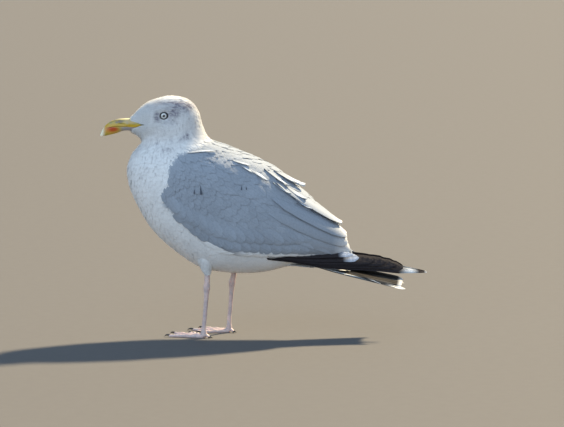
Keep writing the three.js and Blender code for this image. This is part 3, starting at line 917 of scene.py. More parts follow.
@dataclass
class Sheaf:
    """Many feathers of one kind, ready to be made a mesh."""

    kind: FeatherKind
    rings: Array  # feather, ring, place in the ring, xyz
    poles: Array  # feather, end, xyz
    normals: Array  # feather, vertex, xyz
    tints: Array  # feather, vertex, rgb
    seats: Array  # feather, place on the unwrap

    def points(self) -> Array:
        """Each feather's vertices."""
        return np.concatenate([self.rings.reshape(len(self.rings), -1, 3), self.poles], axis=1)

    def vane_map(self) -> Array:
        """Each vertex's place on its own vane: across, and from root to tip."""
        count = len(self.rings)
        across = np.tile((np.array(self.kind.section.across) + 1) / 2, len(self.kind.shares))
        along = np.repeat(self.kind.shares, len(self.kind.section.across))
        place = np.stack([np.append(across, [0.5, 0.5]), np.append(along, [0.0, 1.0])], axis=-1)
        return np.tile(place, (count, 1, 1))


class Tract:
    """Lays feathers of one kind over a form."""

    def __init__(self, form: Form, kind: FeatherKind, unwrap: tuple = (0.0, 0.0, 1.0, 1.0)) -> None:
        """Keeps the form, the kind of feather and the part of the unwrap that the form has."""
        self.form, self.kind, self.unwrap = form, kind, unwrap

    def lay(self, s: Array, a: Array, length: Array, half: Array, way: Array | None = None,
            turn: Array | float = 0.0, lift: Array | float = 0.0, ruffle: Array | float = 0.0,
            roll: Array | float = 0.0) -> Sheaf:
        """Lays feathers from their roots.

        Args:
            s: Numbers along the form, at the roots.
            a: Angles round the form, at the roots.
            length: Lengths.
            half: Half widths.
            way: Directions in space, or None for along the form.
            turn: Angles from that direction, to each side.
            lift: Extra heights of the whole feathers.
            ruffle: Extra heights of the tips.
            roll: How far each vane leans, as a rise from its middle to its edge in half widths.

        Returns:
            The feathers, with no tint.
        """
        kind, form = self.kind, self.form
        count = len(s)
        shares = np.array([0.0, *kind.shares, 1.0])
        rings, normals, poles, pole_normals = [], [], [], []
        turn = np.broadcast_to(turn, (count,))
        lift, ruffle = np.broadcast_to(lift, (count,)), np.broadcast_to(ruffle, (count,))
        lean = np.broadcast_to(roll, (count,))[:, None]
        out = (1 - kind.softness) * 0.5
        seats = self.seat(s, a)
        for i, share in enumerate(shares):
            _, ahead, round_ = form.slopes(s, a)
            normal = unit(np.cross(ahead, round_))
            main = ahead if way is None else way
            main = unit(main - dot(main, normal)[:, None] * normal)
            side = np.cross(normal, main)
            main, side = (main * np.cos(turn)[:, None] + side * np.sin(turn)[:, None],
                          side * np.cos(turn)[:, None] - main * np.sin(turn)[:, None])
            rise = kind.root_height + (kind.tip_height - kind.root_height) * share ** kind.bend
            height = rise + lift + ruffle * share**3
            if 0 < i < len(shares) - 1:
                width = half * kind.widths[i - 1]
                ring, ring_normals = [], []
                for across, up, under in zip(kind.section.across, kind.section.up, kind.section.under):
                    s_k, a_k = form.walk(s, a, side, width * across)
                    over = height + half * (kind.camber * up + roll * across) - under * kind.thickness
                    point, skin_normal = form.place(s_k, a_k, over)
                    ring.append(point)
                    ring_normals.append(unit(skin_normal + (out * across - lean) * side))
                rings.append(np.stack(ring, axis=1))
                normals.append(np.stack(ring_normals, axis=1))
            else:
                point, skin_normal = form.place(s, a, height)
                poles.append(point)
                pole_normals.append(skin_normal)
            if i < len(shares) - 1:
                s, a = form.walk(s, a, main, length * (shares[i + 1] - share))
        rings, normals = np.stack(rings, axis=1), np.stack(normals, axis=1)
        poles, pole_normals = np.stack(poles, axis=1), np.stack(pole_normals, axis=1)
        normals = np.concatenate([normals.reshape(count, -1, 3), pole_normals], axis=1)
        tints = np.ones((count, rings.shape[1] * rings.shape[2] + 2, 3))
        return Sheaf(kind, rings, poles, normals, tints, seats)

    def seat(self, s: Array, a: Array) -> Array:
        """The roots' places on the unwrap of the skin."""
        left, low, wide, high = self.unwrap
        round_ = np.mod(a / math.tau, 1.0)
        return np.stack([left + wide * round_, low + high * np.clip(s / LAST_STATION, 0, 1)], axis=-1)


PATCH = 0.003  # how far a feather's patch reaches on the unwrap


def corner_normals(mesh: Mesh, wanted: Array) -> Array:
    """The wanted normal at each face corner, or the face's own where that faces away from it."""
    own, sizes = np.empty(len(mesh.polygons) * 3, np.float32), np.empty(len(mesh.polygons), np.int32)
    mesh.polygons.foreach_get("normal", own)
    mesh.polygons.foreach_get("loop_total", sizes)
    own = np.repeat(own.reshape(-1, 3), sizes, axis=0)
    return unit(mix(own, wanted, ramp(dot(wanted, own), 0.15, 0.65)[:, None]))


def coat_piece(name: str, sheaves: list[Sheaf], material: Material) -> Object:
    """Joins feathers into one piece of the coat.

    Args:
        name: The piece's name.
        sheaves: The feathers.
        material: Their finish.

    Returns:
        The piece.
    """
    points, corners, sizes = joined([(sheaf.rings, sheaf.poles) for sheaf in sheaves])
    vanes = [sheaf.vane_map() for sheaf in sheaves]
    bakes = [sheaf.seats[:, None] + (vane - 0.5) * PATCH for sheaf, vane in zip(sheaves, vanes)]
    mesh = mesh_of(name, points, corners, sizes)
    set_map(mesh, "OFBake", np.concatenate([bake.reshape(-1, 2) for bake in bakes]))
    set_map(mesh, "Vane", np.concatenate([vane.reshape(-1, 2) for vane in vanes]))
    add_tint(mesh, np.concatenate([sheaf.tints.reshape(-1, 3) for sheaf in sheaves]))
    wanted = np.concatenate([sheaf.normals.reshape(-1, 3) for sheaf in sheaves])[corners]
    mesh.normals_split_custom_set(corner_normals(mesh, wanted).tolist())
    return make_object(name, mesh, material)


def finish_piece(piece: Object, slot: str, *nodes: str) -> None:
    """Rides a piece on the body, with the nodes it stands for, and reports it."""
    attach(piece, BODY)
    if nodes:
        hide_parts(*nodes)
    mesh = piece.data
    LOG.info("%s: %d triangles", piece.name, len(mesh.loops) - 2 * len(mesh.polygons))


# ---- Skin and coat ----

BODY_FORM = BodyForm()
EYE_RADIUS = 0.0076


@dataclass(frozen=True)
class Leg:
    """Where one leg stands, and the headings of its toes in degrees from straight ahead."""

    side: Side
    foot: tuple
    hock: tuple
    top: tuple
    headings: tuple  # outer, middle, inner
    thigh_end: float = 0.0985
    hock_z: float = 0.076
    ankle_z: float = 0.009

    @property
    def hind(self) -> float:
        """The hind toe's heading."""
        return self.headings[1] - self.side.value * 160

    def thigh(self) -> LimbForm:
        """The feathered thigh, down to where the bare leg starts."""
        (x, y), end = self.top, self.thigh_end
        return LimbForm(np.array([
            (x - 0.005, y * 0.9, end + 0.050, 0.019), (x - 0.004, y, end + 0.035, 0.016),
            (x - 0.002, y, end + 0.018, 0.0125), (x - 0.001, y, end + 0.007, 0.0085), (x, y, end, 0.0055),
        ]))


LEGS = (
    Leg(Side.LEFT, (-0.090, -0.028), (-0.0855, -0.0285), (-0.0845, -0.029), (13, 39, 62)),
    Leg(Side.RIGHT, (-0.053, 0.028), (-0.0485, 0.0285), (-0.044, 0.029), (39, 17, -14)),
)


@dataclass(frozen=True)
class Skin:
    """One closed skin for head, neck, trunk and thighs, inside the coat."""

    rows: int = 226
    columns: int = 112
    coat_depth: float = 0.0017

    def loft(self, form: Form, name: str, last: float, rows: int, columns: int) -> Object:
        """A closed loft over a form, from its start to a number along it."""
        s, a = ring_grid(0.0, last, rows, columns)
        rings = form.place(s, a, np.full(s.shape, -self.coat_depth))[0][None]
        return tube_piece(name, rings, ends_of(rings), SkinFinish().make())

    def build(self) -> None:
        """Makes the skin and gives it the markings."""
        skin = self.loft(BODY_FORM, "skin", LAST_STATION, self.rows, self.columns)
        for leg in LEGS:
            thigh = self.loft(leg.thigh(), "thigh", 4.0, 20, 24)
            join = skin.modifiers.new("join", "BOOLEAN")
            join.operation, join.object, join.solver = "UNION", thigh, "EXACT"
            bake_modifiers(skin)
            bpy.data.objects.remove(thigh)
        add_tint(skin.data, MARKINGS.tint(vertices_of(skin.data)))
        finish_piece(skin, "plumage_white", "head", "neck", "trunk", "thigh_left", "thigh_right")


def vertices_of(mesh: Mesh) -> Array:
    """A mesh's vertices as rows."""
    points = np.empty(len(mesh.vertices) * 3, np.float32)
    mesh.vertices.foreach_get("co", points)
    return points.reshape(-1, 3).astype(float)


def bake_modifiers(piece: Object) -> None:
    """Replaces a piece's mesh by what its modifiers make of it, smooth-shaded, and removes them."""
    evaluated = piece.evaluated_get(bpy.context.evaluated_depsgraph_get())
    material = piece.data.materials[0]
    mesh = bpy.data.meshes.new_from_object(evaluated)
    mesh.name = piece.name
    piece.modifiers.clear()
    piece.data = mesh
    mesh.materials.clear()
    mesh.materials.append(material)
    mesh.polygons.foreach_set("use_smooth", np.ones(len(mesh.polygons), bool))


@dataclass
class Scatter:
    """Roots spread evenly over a form at a spacing that may change from place to place."""

    form: Form
    low: tuple  # least number along and angle round
    high: tuple
    seed: int
    cells: int = 90  # steps each way of the map that says where there is room

    def roots(self, spacing: object, keep: object, tries: int) -> tuple[Array, Array, Array, Array]:
        """Roots no closer than the spacing.

        Args:
            spacing: Function of points that gives the least distance at each.
            keep: Function of points that says which may have a root.
            tries: How many candidates are drawn.

        Returns:
            Numbers along, angles round, points, and spacings.
        """
        rng = np.random.default_rng(self.seed)
        s_edge, a_edge = (np.linspace(self.low[i], self.high[i], self.cells + 1) for i in (0, 1))
        middles = ((edge[1:] + edge[:-1]) / 2 for edge in (s_edge, a_edge))
        point, ahead, round_ = self.form.slopes(*np.meshgrid(*middles, indexing="ij"))
        room = np.linalg.norm(np.cross(ahead, round_), axis=-1) / spacing(point) ** 2
        room = np.where(keep(point), room, 0).ravel()
        cell = rng.choice(room.size, tries, p=room / room.sum())
        s = s_edge[cell // self.cells] + rng.random(tries) * (s_edge[1] - s_edge[0])
        a = a_edge[cell % self.cells] + rng.random(tries) * (a_edge[1] - a_edge[0])
        points = self.form.base(s, a)
        gaps = spacing(points)
        grid, taken = {}, []
        rows, spots = points.tolist(), np.floor(points / float(gaps.max())).astype(int).tolist()
        offsets = [(dx - 1, dy - 1, dz - 1) for dx, dy, dz in np.ndindex(3, 3, 3)]
        for i in np.flatnonzero(keep(points)).tolist():
            (x, y, z), (kx, ky, kz), gap2 = rows[i], spots[i], gaps[i] ** 2
            if all((x - px) ** 2 + (y - py) ** 2 + (z - pz) ** 2 >= gap2
                   for dx, dy, dz in offsets for px, py, pz in grid.get((kx + dx, ky + dy, kz + dz), ())):
                grid.setdefault((kx, ky, kz), []).append((x, y, z))
                taken.append(i)
        return s[taken], a[taken], points[taken], gaps[taken]


def tinted(sheaf: Sheaf, tint: Array, tip: Array | None = None, from_share: float = 0.8) -> Sheaf:
    """Gives each feather of a sheaf one tint, and its tip another.

    Args:
        sheaf: The feathers.
        tint: One colour each.
        tip: The tip's colour for each, or None.
        from_share: Where along the vane the tip's colour starts.

    Returns:
        The same sheaf.
    """
    along = sheaf.vane_map()[..., 1:2]
    sheaf.tints = np.broadcast_to(tint[:, None], sheaf.tints.shape).copy()
    if tip is not None:
        sheaf.tints = mix(sheaf.tints, tip[:, None], ramp(along, from_share, from_share + 0.06))
    return sheaf


def lay_between(ends: Array, side: Side, kind: FeatherKind, **options: object) -> Sheaf:
    """Feathers from roots to tips given in the side view.

    Args:
        ends: Rows of root x and z, tip x and z, and half width.
        side: The side of the bird.
        kind: The make of feather.
        options: Lift, ruffle and roll, as Tract.lay has them.

    Returns:
        The feathers, with no tint.
    """
    s, a = BODY_FORM.find(ends[:, 0], ends[:, 1], side)
    start, end = BODY_FORM.base(s, a), BODY_FORM.base(*BODY_FORM.find(ends[:, 2], ends[:, 3], side))
    length = np.linalg.norm(end - start, axis=1) * 1.01
    return Tract(BODY_FORM, kind).lay(s, a, length, ends[:, 4], way=unit(end - start), **options)


@dataclass(frozen=True)
class WhiteCoat:
    """The small soft feathers of head, neck, breast, belly and thighs."""

    eye_room: float = 0.0072
    bill_room: float = 0.0005
    lid_reach: float = 0.0066
    flank_plumes: tuple = (  # root, tip and half width in mm: white, over the wing's lower edge
        (-98, 152, -72, 143.5, 2.6), (-92, 146, -64, 140.5, 2.8), (-85, 141, -58, 138.5, 3.0),
        (-78, 136, -51, 134.5, 3.0), (-69, 133.5, -42, 131.5, 2.8),
    )
    seed: int = 11

    @staticmethod
    def spacing(point: Array) -> Array:
        """Least distance between roots: finest on the face, widest on the belly."""
        x, z = point[..., 0], point[..., 2]
        face = np.hypot(x + 0.178, z - 0.326)
        head = mix(0.00135, 0.0026, ramp(face, 0.005, 0.055))
        return mix(head, 0.0052, ramp(z, 0.300, 0.225))

    def near_eye(self, point: Array) -> Array:
        """Distance from the eye's axis on either side, by the lids' oval."""
        return np.hypot(point[..., 0] - EYE_AT[0], 1.18 * (point[..., 2] - EYE_AT[2]))

    def keep(self, point: Array) -> Array:
        """Where white feathers grow: not under the wings, in the eyes or on the bill."""
        x, z = point[..., 0], point[..., 2]
        hidden = GREY_OUTLINE.depth(x, z) > 0.009
        in_eye = (self.near_eye(point) < self.eye_room) & (np.abs(point[..., 1]) > 0.012)
        on_bill = HORN_OUTLINE.depth(x, z) > -self.bill_room
        return ~hidden & ~in_eye & ~on_bill

    def build(self) -> None:
        """Makes the white coat in its pieces."""
        finish = PlumageFinish("white_feathers", sheen=0.3, barbs=0.06, relief=0.15).make()
        form = BODY_FORM
        for name, low, high, tries, seed in (
            ("coat_face", -0.35, 3.2, 28000, 1), ("coat_head", 3.2, 6.0, 16000, 2),
            ("coat_neck", 6.0, 8.4, 16000, 3), ("coat_breast", 8.4, 10.8, 16000, 4),
            ("coat_belly", 10.8, 15.2, 16000, 5),
        ):
            scatter = Scatter(form, (low, 0.0), (high, math.tau), self.seed + seed)
            s, a, points, gaps = scatter.roots(self.spacing, self.keep, tries)
            rng = np.random.default_rng(self.seed + 40 + seed)
            size = 0.85 + 0.3 * rng.random(len(s))
            stretch = mix(3.2, 2.9, ramp(gaps, 0.002, 0.005))
            slim = mix(0.62, 0.95, ramp(gaps, 0.002, 0.005))
            lift = np.minimum(gaps * 0.03, 0.00012) * rng.random(len(s)) + 0.0009 * ramp(s, 0.25, -0.20)
            room = np.where(points[:, 0] < EYE_AT[0] + 0.003, self.near_eye(points) - self.lid_reach, 1.0)
            length = np.minimum(gaps * stretch * size, np.maximum(room, 0.0012))
            sheaf = Tract(form, SOFT).lay(
                s, a, length, gaps * slim * size, turn=(rng.random(len(s)) - 0.5) * 0.2, lift=lift)
            sheaf.tints = MARKINGS.tint(sheaf.points(), points[:, None])
            sheaf.tints *= 0.97 + 0.06 * rng.random((len(s), 1, 1))
            sheaves = [sheaf, *(self.plumes(side) for side in Side)] if name == "coat_belly" else [sheaf]
            finish_piece(coat_piece(name, sheaves, finish), "plumage_white")
        self.thighs(finish)

    def plumes(self, side: Side) -> Sheaf:
        """The flank's pointed white feathers over the wing's lower edge."""
        ends = MM * np.array(self.flank_plumes)
        kind = FeatherKind(
            widths=(0.6, 1.0, 0.62, 0.25), camber=0.15, root_height=-0.002, tip_height=0.0038, bend=0.5)
        return tinted(lay_between(ends, side, kind), np.tile(Tints.white, (len(ends), 1)))

    def thighs(self, finish: Material) -> None:
        """Makes the feathers of both thighs."""
        for order, leg in enumerate(LEGS):
            form = leg.thigh()
            scatter = Scatter(form, (0.8, 0.0), (3.7, math.tau), self.seed + 60 + order)
            s, a, _, gaps = scatter.roots(lambda p: mix(0.0022, 0.0034, ramp(p[..., 2], 0.10, 0.12)),
                                          lambda p: p[..., 2] < 0.125, 5000)
            rng = np.random.default_rng(self.seed + 70 + order)
            unwrap = (0.02 + 0.5 * order, 0.02, 0.1, 0.5)
            turn, lift = (rng.random(len(s)) - 0.5) * 0.4, rng.random(len(s)) * 0.0006
            sheaf = Tract(form, SOFT, unwrap).lay(s, a, gaps * 2.6, gaps * 0.8, turn=turn, lift=lift)
            tint = Tints.white * (0.9 + 0.1 * rng.random((len(s), 1)))
            finish_piece(coat_piece(f"coat_thigh_{leg.side.word}", [tinted(sheaf, tint)], finish),
                         "plumage_white")


# ---- Wings and mantle ----


@dataclass(frozen=True)
class FeatherRow:
    """A row of like feathers on the wing, between a line of roots and a line of tips in mm."""

    roots: tuple
    tips: tuple
    count: int
    half: float
    lift: float
    pale_edge: float = 0.0  # how far the pale band reaches from the wing's lower edge
    root_height: float = -0.0034

    def lay(self, side: Side, kind: FeatherKind, rng: np.random.Generator) -> Sheaf:
        """Lays the row on one side.

        Args:
            side: The side of the bird.
            kind: The make of feather.
            rng: Source of small differences.

        Returns:
            The tinted feathers.
        """
        lines = np.stack([spread(MM * np.array(line), self.count) for line in (self.roots, self.tips)])
        roots, tips = lines + (rng.random((2, self.count, 2)) - 0.5) * 0.003
        half = self.half * (0.95 + 0.1 * rng.random((self.count, 1)))
        kind = replace(kind, root_height=self.root_height - self.lift, bend=0.5)
        lift = self.lift + np.linspace(0.0005, 0.0, self.count)
        sheaf = lay_between(np.hstack([roots, tips, half]), side, kind, lift=lift)
        sheaf = tinted(sheaf, Tints.grey * (0.93 + 0.14 * rng.random((self.count, 1))))
        if self.pale_edge:
            place = sheaf.points()
            depth = GREY_OUTLINE.depth(place[..., 0], place[..., 2])
            share = ramp(depth, self.pale_edge, 0.2 * self.pale_edge) * ramp(place[..., 0], -0.060, -0.020)
            sheaf.tints = mix(sheaf.tints, Tints.white, share[..., None])
        return sheaf


WING_ROWS = (
    FeatherRow(((-80, 154), (-40, 144), (10, 143), (55, 142)),  # secondaries
               ((-28, 128.5), (12, 126.8), (42.7, 126), (80, 120.5), (107.8, 118.1)),
               16, 0.0085, 0.0002, 0.010),
    FeatherRow(((-140, 212), (-106, 190), (-68, 168), (-14, 158), (30, 155)),  # greater coverts
               ((-118, 178.5), (-74, 145.5), (-20, 134), (40, 132.5), (90, 131)), 17, 0.0100, 0.0009),
    FeatherRow(((-146, 226), (-114, 206), (-76, 188), (-20, 177), (24, 176)),  # median coverts
               ((-128, 194), (-84, 168), (-36, 151), (24, 147), (68, 148)), 18, 0.0095, 0.0014),
)
TERTIALS = (  # root, tip, half width, where its pale end starts, how far it leans
    (-0.016, 0.168, 0.124, 0.1215, 0.0165, 0.84, 0.0), (-0.010, 0.184, 0.135, 0.129, 0.0175, 0.82, 0.10),
    (-0.002, 0.202, 0.129, 0.140, 0.018, 0.86, 0.15), (0.006, 0.220, 0.128, 0.151, 0.018, 0.88, 0.25),
    (0.012, 0.240, 0.114, 0.165, 0.017, 0.88, 0.35),
)
LOOSE_SCAPULARS = MM * np.array([  # root, tip, half width and how far the tip stands off, in mm
    (-115.5, 280.6, -70, 280, 2.4, 0.8), (-50, 270, -20, 258, 3, 1.6),
    (-41, 267, -17.7, 248.6, 3, 1.6), (-26, 259.2, 4.2, 237, 3.6, 2.6),
    (-1.8, 256.2, 33.4, 227.4, 5.2, 2.6), (12.3, 252.1, 49, 225, 5.2, 3),
    (20, 246, 55.5, 220.4, 5.2, 5.5), (10, 240, 37.4, 215.9, 4.8, 3),
    (30, 232, 60, 205, 6.2, 4), (36, 222, 68, 192, 6.6, 3.4),
])
DARK_GAPS = MM * np.array([  # root, tip and half width in mm: thin dark vanes, painted shade in the slits between feathers
    (-93.6, 235.2, -92.5, 221.2, 1.4), (-102.7, 229.7, -102.8, 222.2, 0.9),
    (-33.3, 234.4, -33.9, 226.8, 0.8), (-27, 232.4, -26.3, 227.1, 0.7),
    (37.4, 215, 59.5, 198, 1.1),
])
# x and z of the line over which the scapulars grow, and of the one over which the lesser coverts do
SADDLE_EDGE = MM * np.array([(-160, -122, -84, -30, 20, 60), (262, 258, 244, 232, 222, 214)])
SHOULDER_EDGE = MM * np.array([(-160, -146, -114, -76, -20, 30), (186, 192, 198, 180, 168, 167)])


@dataclass(frozen=True)
class GreyCoat:
    """The mantle with the scapulars, and both folded wings down to their secondaries."""

    seed: int = 301

    @staticmethod
    def spacing(point: Array) -> Array:
        """Least distance between roots: wider to the rear."""
        return mix(0.0046, 0.0098, ramp(point[..., 0], -0.150, -0.010))

    @staticmethod
    def saddle(point: Array) -> Array:
        """The mantle and scapulars' ground: the back and the upper side."""
        x, z = point[..., 0], point[..., 2]
        return (GREY_OUTLINE.depth(x, z) > 0.0005) & (z > np.interp(x, *SADDLE_EDGE)) & (x < 0.048)

    @staticmethod
    def shoulder(point: Array) -> Array:
        """The lesser coverts' ground: the wing's front, above the median coverts."""
        x, z = point[..., 0], point[..., 2]
        above = z > np.interp(x, *SHOULDER_EDGE)
        under_mantle = z < np.interp(x, *SADDLE_EDGE) + 0.008
        return (GREY_OUTLINE.depth(x, z) > 0.0008) & above & under_mantle & (x < 0.034)

    def scattered(self, side: Side | None, keep: object, tries: int, seed: int, lift: float) -> Sheaf:
        """Small grey feathers over a ground, on one side or, for None, over the back too."""
        angles = {None: (0.0, math.tau), Side.RIGHT: (0.0, math.pi), Side.LEFT: (math.pi, math.tau)}[side]
        scatter = Scatter(BODY_FORM, (6.4, angles[0]), (13.2, angles[1]), seed)
        s, a, points, gaps = scatter.roots(self.spacing, keep, tries)
        rng = np.random.default_rng(seed + 7)
        size = 0.9 + 0.2 * rng.random(len(s))
        kind = FeatherKind(
            shares=(0.08, 0.35, 0.62, 0.84, 0.96), widths=(0.45, 0.9, 1.0, 0.72, 0.30), camber=0.05,
            root_height=-0.0026, tip_height=0.0007, bend=0.6, softness=0.85)
        longer, wider = (4.0, 0.85) if side is None else (3.2, 0.95)
        sheaf = Tract(BODY_FORM, kind).lay(
            s, a, gaps * longer * size, gaps * wider * size, turn=(rng.random(len(s)) - 0.5) * 0.22,
            lift=lift + 0.00015 * rng.random(len(s)))
        sheaf = tinted(sheaf, self.greys(points, rng))
        soft = mix(*MARKINGS.soft_edge, ramp(points[:, 2], 0.235, 0.275))[:, None]
        place = sheaf.points()
        depth = GREY_OUTLINE.depth(place[..., 0], place[..., 2]) + (clouds(place, 0.004, 17) - 0.5) * 0.003
        sheaf.tints = mix(Tints.white, sheaf.tints, ramp(depth, -0.3 * soft, 1.6 * soft)[..., None])
        return sheaf

    @staticmethod
    def greys(points: Array, rng: np.random.Generator) -> Array:
        """The grey of each feather, which differs a little from one to the next and over the wing."""
        cloud = 0.95 + 0.10 * clouds(points, 0.030, 41)
        return Tints.grey * (cloud * (0.96 + 0.08 * rng.random(len(points))))[:, None]

    def wing(self, side: Side, finish: Material) -> None:
        """Makes one folded wing's coverts, secondaries and tertials."""
        seed = self.seed + 10 * side.value
        rng = np.random.default_rng(seed)
        kind = replace(VANED, root_height=-0.0034, tip_height=0.0012, bend=0.5)
        rows = [row.lay(side, kind, rng) for row in WING_ROWS]
        lesser = self.scattered(side, self.shoulder, 9000, seed + 1, 0.0008)
        slits = self.slits(side)
        coverts = coat_piece(f"wing_coverts_{side.word}", [*rows, lesser, slits], finish)
        finish_piece(coverts, "plumage_grey", f"wing_{side.word}_coverts")
        ends = np.array(TERTIALS)
        sheaf = lay_between(ends[:, :5], side, kind, lift=np.linspace(0.0008, 0.0024, len(ends)),
                            roll=side.value * ends[:, 6])
        grey = Tints.grey * (0.95 + 0.1 * rng.random((len(ends), 1)))
        pale = np.tile(Tints.white * 0.95, (len(ends), 1))[:, None]
        sheaf = tinted(sheaf, grey)
        along = sheaf.vane_map()[..., 1:2]
        sheaf.tints = mix(sheaf.tints, pale, ramp(along, ends[:, 5, None, None], 0.965))
        piece = coat_piece(f"wing_tertials_{side.word}", [sheaf], finish)
        finish_piece(piece, "plumage_grey", f"wing_{side.word}_tertials")

    def build(self) -> None:
        """Makes mantle and wings."""
        finish = PlumageFinish("grey_feathers", roughness=0.7, sheen=0.2, shaft=0.15, barbs=0.08).make()
        mantle = self.scattered(None, self.saddle, 12000, self.seed, 0.0015)
        piece = coat_piece("mantle_scapulars", [mantle, *(self.loose(side) for side in Side)], finish)
        finish_piece(piece, "plumage_grey", "mantle")
        for side in Side:
            self.wing(side, finish)

    def loose(self, side: Side) -> Sheaf:
        """The ruffled scapulars that lean to the light and stand a little off the back."""
        ends = LOOSE_SCAPULARS
        kind = replace(VANED, widths=(0.4, 0.85, 1.0, 0.92, 0.70, 0.42, 0.18), root_height=-0.0030,
                       tip_height=0.0014, bend=0.5, softness=0.2, camber=0.12)
        sheaf = lay_between(ends[:, :5], side, kind, lift=0.0026, ruffle=ends[:, 5], roll=side.value * 0.45)
        grey = np.tile(Tints.grey, (len(ends), 1))
        return tinted(sheaf, grey * 1.05, grey * 1.7, 0.55)

    def slits(self, side: Side) -> Sheaf:
        """Thin dark vanes where the feathers part and show their shaded bases."""
        kind = replace(VANED, widths=(0.1, 0.3, 0.5, 0.75, 1.0, 0.9, 0.5), section=NARROW, root_height=0.0014,
                       tip_height=0.0020)
        ends = DARK_GAPS
        return tinted(lay_between(ends, side, kind, lift=0.0016), np.tile(Tints.slit, (len(ends), 1)))


# ---- Primaries and tail ----


@dataclass(frozen=True)
class Quill:
    """A long stiff feather in the open, from its root to its tip."""

    root: tuple
    tip: tuple
    across: tuple  # direction of its width
    shares: Array
    halves: Array  # half width at each share
    camber: float = 0.06
    thickness: float = 0.0007
    drift: Array | float = 0.0  # how far each share of it is off the straight line, in y

    def rings(self) -> tuple[Array, Array, Array]:
        """The rings, poles and normals of the feather."""
        root, tip = np.array(self.root), np.array(self.tip)
        main = unit(tip - root)
        across = np.array(self.across)
        across = unit(across - dot(across, main) * main)
        normal = np.cross(main, across)
        centre = root + self.shares[:, None] * (tip - root)
        centre[:, 1] += self.drift
        rings = np.stack([
            centre + (self.halves * across_k)[:, None] * across
            + (self.halves * self.camber * up - under * self.thickness)[:, None] * normal
            for across_k, up, under in zip(BROAD.across, BROAD.up, BROAD.under)], axis=1)
        normals = np.stack([
            np.tile(unit(normal * (1 - 2 * under) + 0.25 * across_k * across), (len(centre), 1))
            for across_k, under in zip(BROAD.across, BROAD.under)], axis=1)
        return rings, np.stack([root, tip]), np.concatenate([normals.reshape(-1, 3), [normal, normal]])


QUILL_SHARES = np.array([0.01, 0.12, 0.25, 0.40, 0.55, 0.70, 0.82, 0.90, 0.95, 0.98, 0.995])


def quill_sheaf(quills: list[Quill]) -> Sheaf:
    """Several quills as one sheaf."""
    rings, poles, normals = (np.stack(made) for made in zip(*(quill.rings() for quill in quills)))
    kind = FeatherKind(shares=quills[0].shares, widths=quills[0].shares, section=BROAD)
    return Sheaf(kind, rings, poles, normals, np.ones(normals.shape), np.zeros((len(quills), 2)))


def quill_piece(name: str, sheaf: Sheaf, material: Material) -> Object:
    """A piece of quills whose own map gives each quill a strip."""
    piece, vane, count = coat_piece(name, [sheaf], material), sheaf.vane_map(), len(sheaf.rings)
    strip = np.arange(count)[:, None, None] / count
    under = np.append(np.tile(sheaf.kind.section.under, len(sheaf.kind.shares)), [0, 0])[None, :, None]
    across = strip + vane[..., :1] * 0.42 / count + under * 0.46 / count
    set_map(piece.data, "OFBake", np.concatenate([across, 0.02 + vane[..., 1:] * 0.96], 2))
    return piece


@dataclass(frozen=True)
class Primaries:
    """The folded wing's long dark feathers, one over another, with the longest inmost."""

    root: tuple = (0.004, 0.045, 0.122)  # x, distance from the midline, z
    tip_sides: tuple = (0.013, 0.012, 0.005)
    closed_x: float = 0.150  # from here on they lie straight
    blades: tuple = (  # tip x, tip z, half depth, end half depth, length of its white end
        (0.245, 0.0965, 0.0064, 0.0028, 0.0), (0.209, 0.1045, 0.0118, 0.0100, 0.0),
        (0.199, 0.109, 0.0115, 0.0092, 0.0), (0.184, 0.1135, 0.0110, 0.0085, 0.0),
        (0.165, 0.1160, 0.0105, 0.0085, 0.0), (0.1425, 0.1200, 0.0085, 0.0075, 0.022),
        (0.1340, 0.1255, 0.0060, 0.0045, 0.020),
    )
    lean: float = 0.8
    step: float = 0.0007

    def build(self) -> None:
        """Makes both stacks of primaries."""
        finish = PlumageFinish("black_feathers", 0.62, 0.0, shaft=-0.5, barbs=0.25, gloss=0.08).make()
        for side in Side:
            sheaf = quill_sheaf([self.quill(order, side) for order in range(len(self.blades))])
            self.paint(sheaf)
            piece = quill_piece(f"primaries_{side.word}", sheaf, finish)
            finish_piece(piece, "plumage_black", f"wing_{side.word}_primaries")

    def out(self, x: Array) -> Array:
        """The innermost one's distance from the midline."""
        return np.interp(x, [self.root[0], self.closed_x, 0.205, 0.245], [self.root[1], *self.tip_sides])

    def quill(self, order: int, side: Side) -> Quill:
        """One primary."""
        tip_x, tip_z, half, end, _ = self.blades[order]
        shares = QUILL_SHARES
        rear = mix(half, end, ramp(shares, 0.5, 0.9))
        halves = np.where(shares > 0.5, rear, mix(0.0015, half, ramp(shares, 0, 0.5)))
        if order == 0:  # it narrows through its white mirror
            widths = [0.0015, half, half, 0.0023, 0.0031, end]
            halves = np.interp(shares, [0, 0.5, 0.84, 0.93, 0.965, 1.0], widths)
        halves = halves * np.sqrt(np.maximum(0.03, 1 - ramp(shares, 0.9, 1.0) ** 2))
        root = (self.root[0], side.value * (self.root[1] + order * self.step), self.root[2] + order * 0.001)
        tip = (tip_x, side.value * (float(self.out(tip_x)) + order * self.step), tip_z)
        straight = mix(self.root[1], self.out(tip_x), shares)
        drift = side.value * (self.out(mix(self.root[0], tip_x, shares)) - straight)
        lean = (0, -side.value * self.lean, 1)
        return Quill(root, tip, lean, shares, halves, 0.10 * side.value, drift=drift)

    def paint(self, sheaf: Sheaf) -> None:
        """Black, with the longest's white mirror and tip and the shorter ones' white ends, painted in shade.
        """
        x = sheaf.points()[..., 0]
        tint = np.broadcast_to(Tints.black, (*x.shape, 3)).copy()
        longest = ramp(x[0], 0.2095, 0.2110) * (1 - ramp(x[0], 0.2310, 0.2325)) + ramp(x[0], 0.2415, 0.2430)
        tint[0] = mix(tint[0], Tints.white, longest[:, None])
        for order, (end, _, _, _, pale) in enumerate(self.blades):
            if pale:
                share = ramp(x[order], end - pale - 0.002, end - pale)
                # the white ends painted in shade, a bluish grey
                tint[order] = mix(tint[order], Tints.shaded, share[:, None])
        sheaf.tints = tint


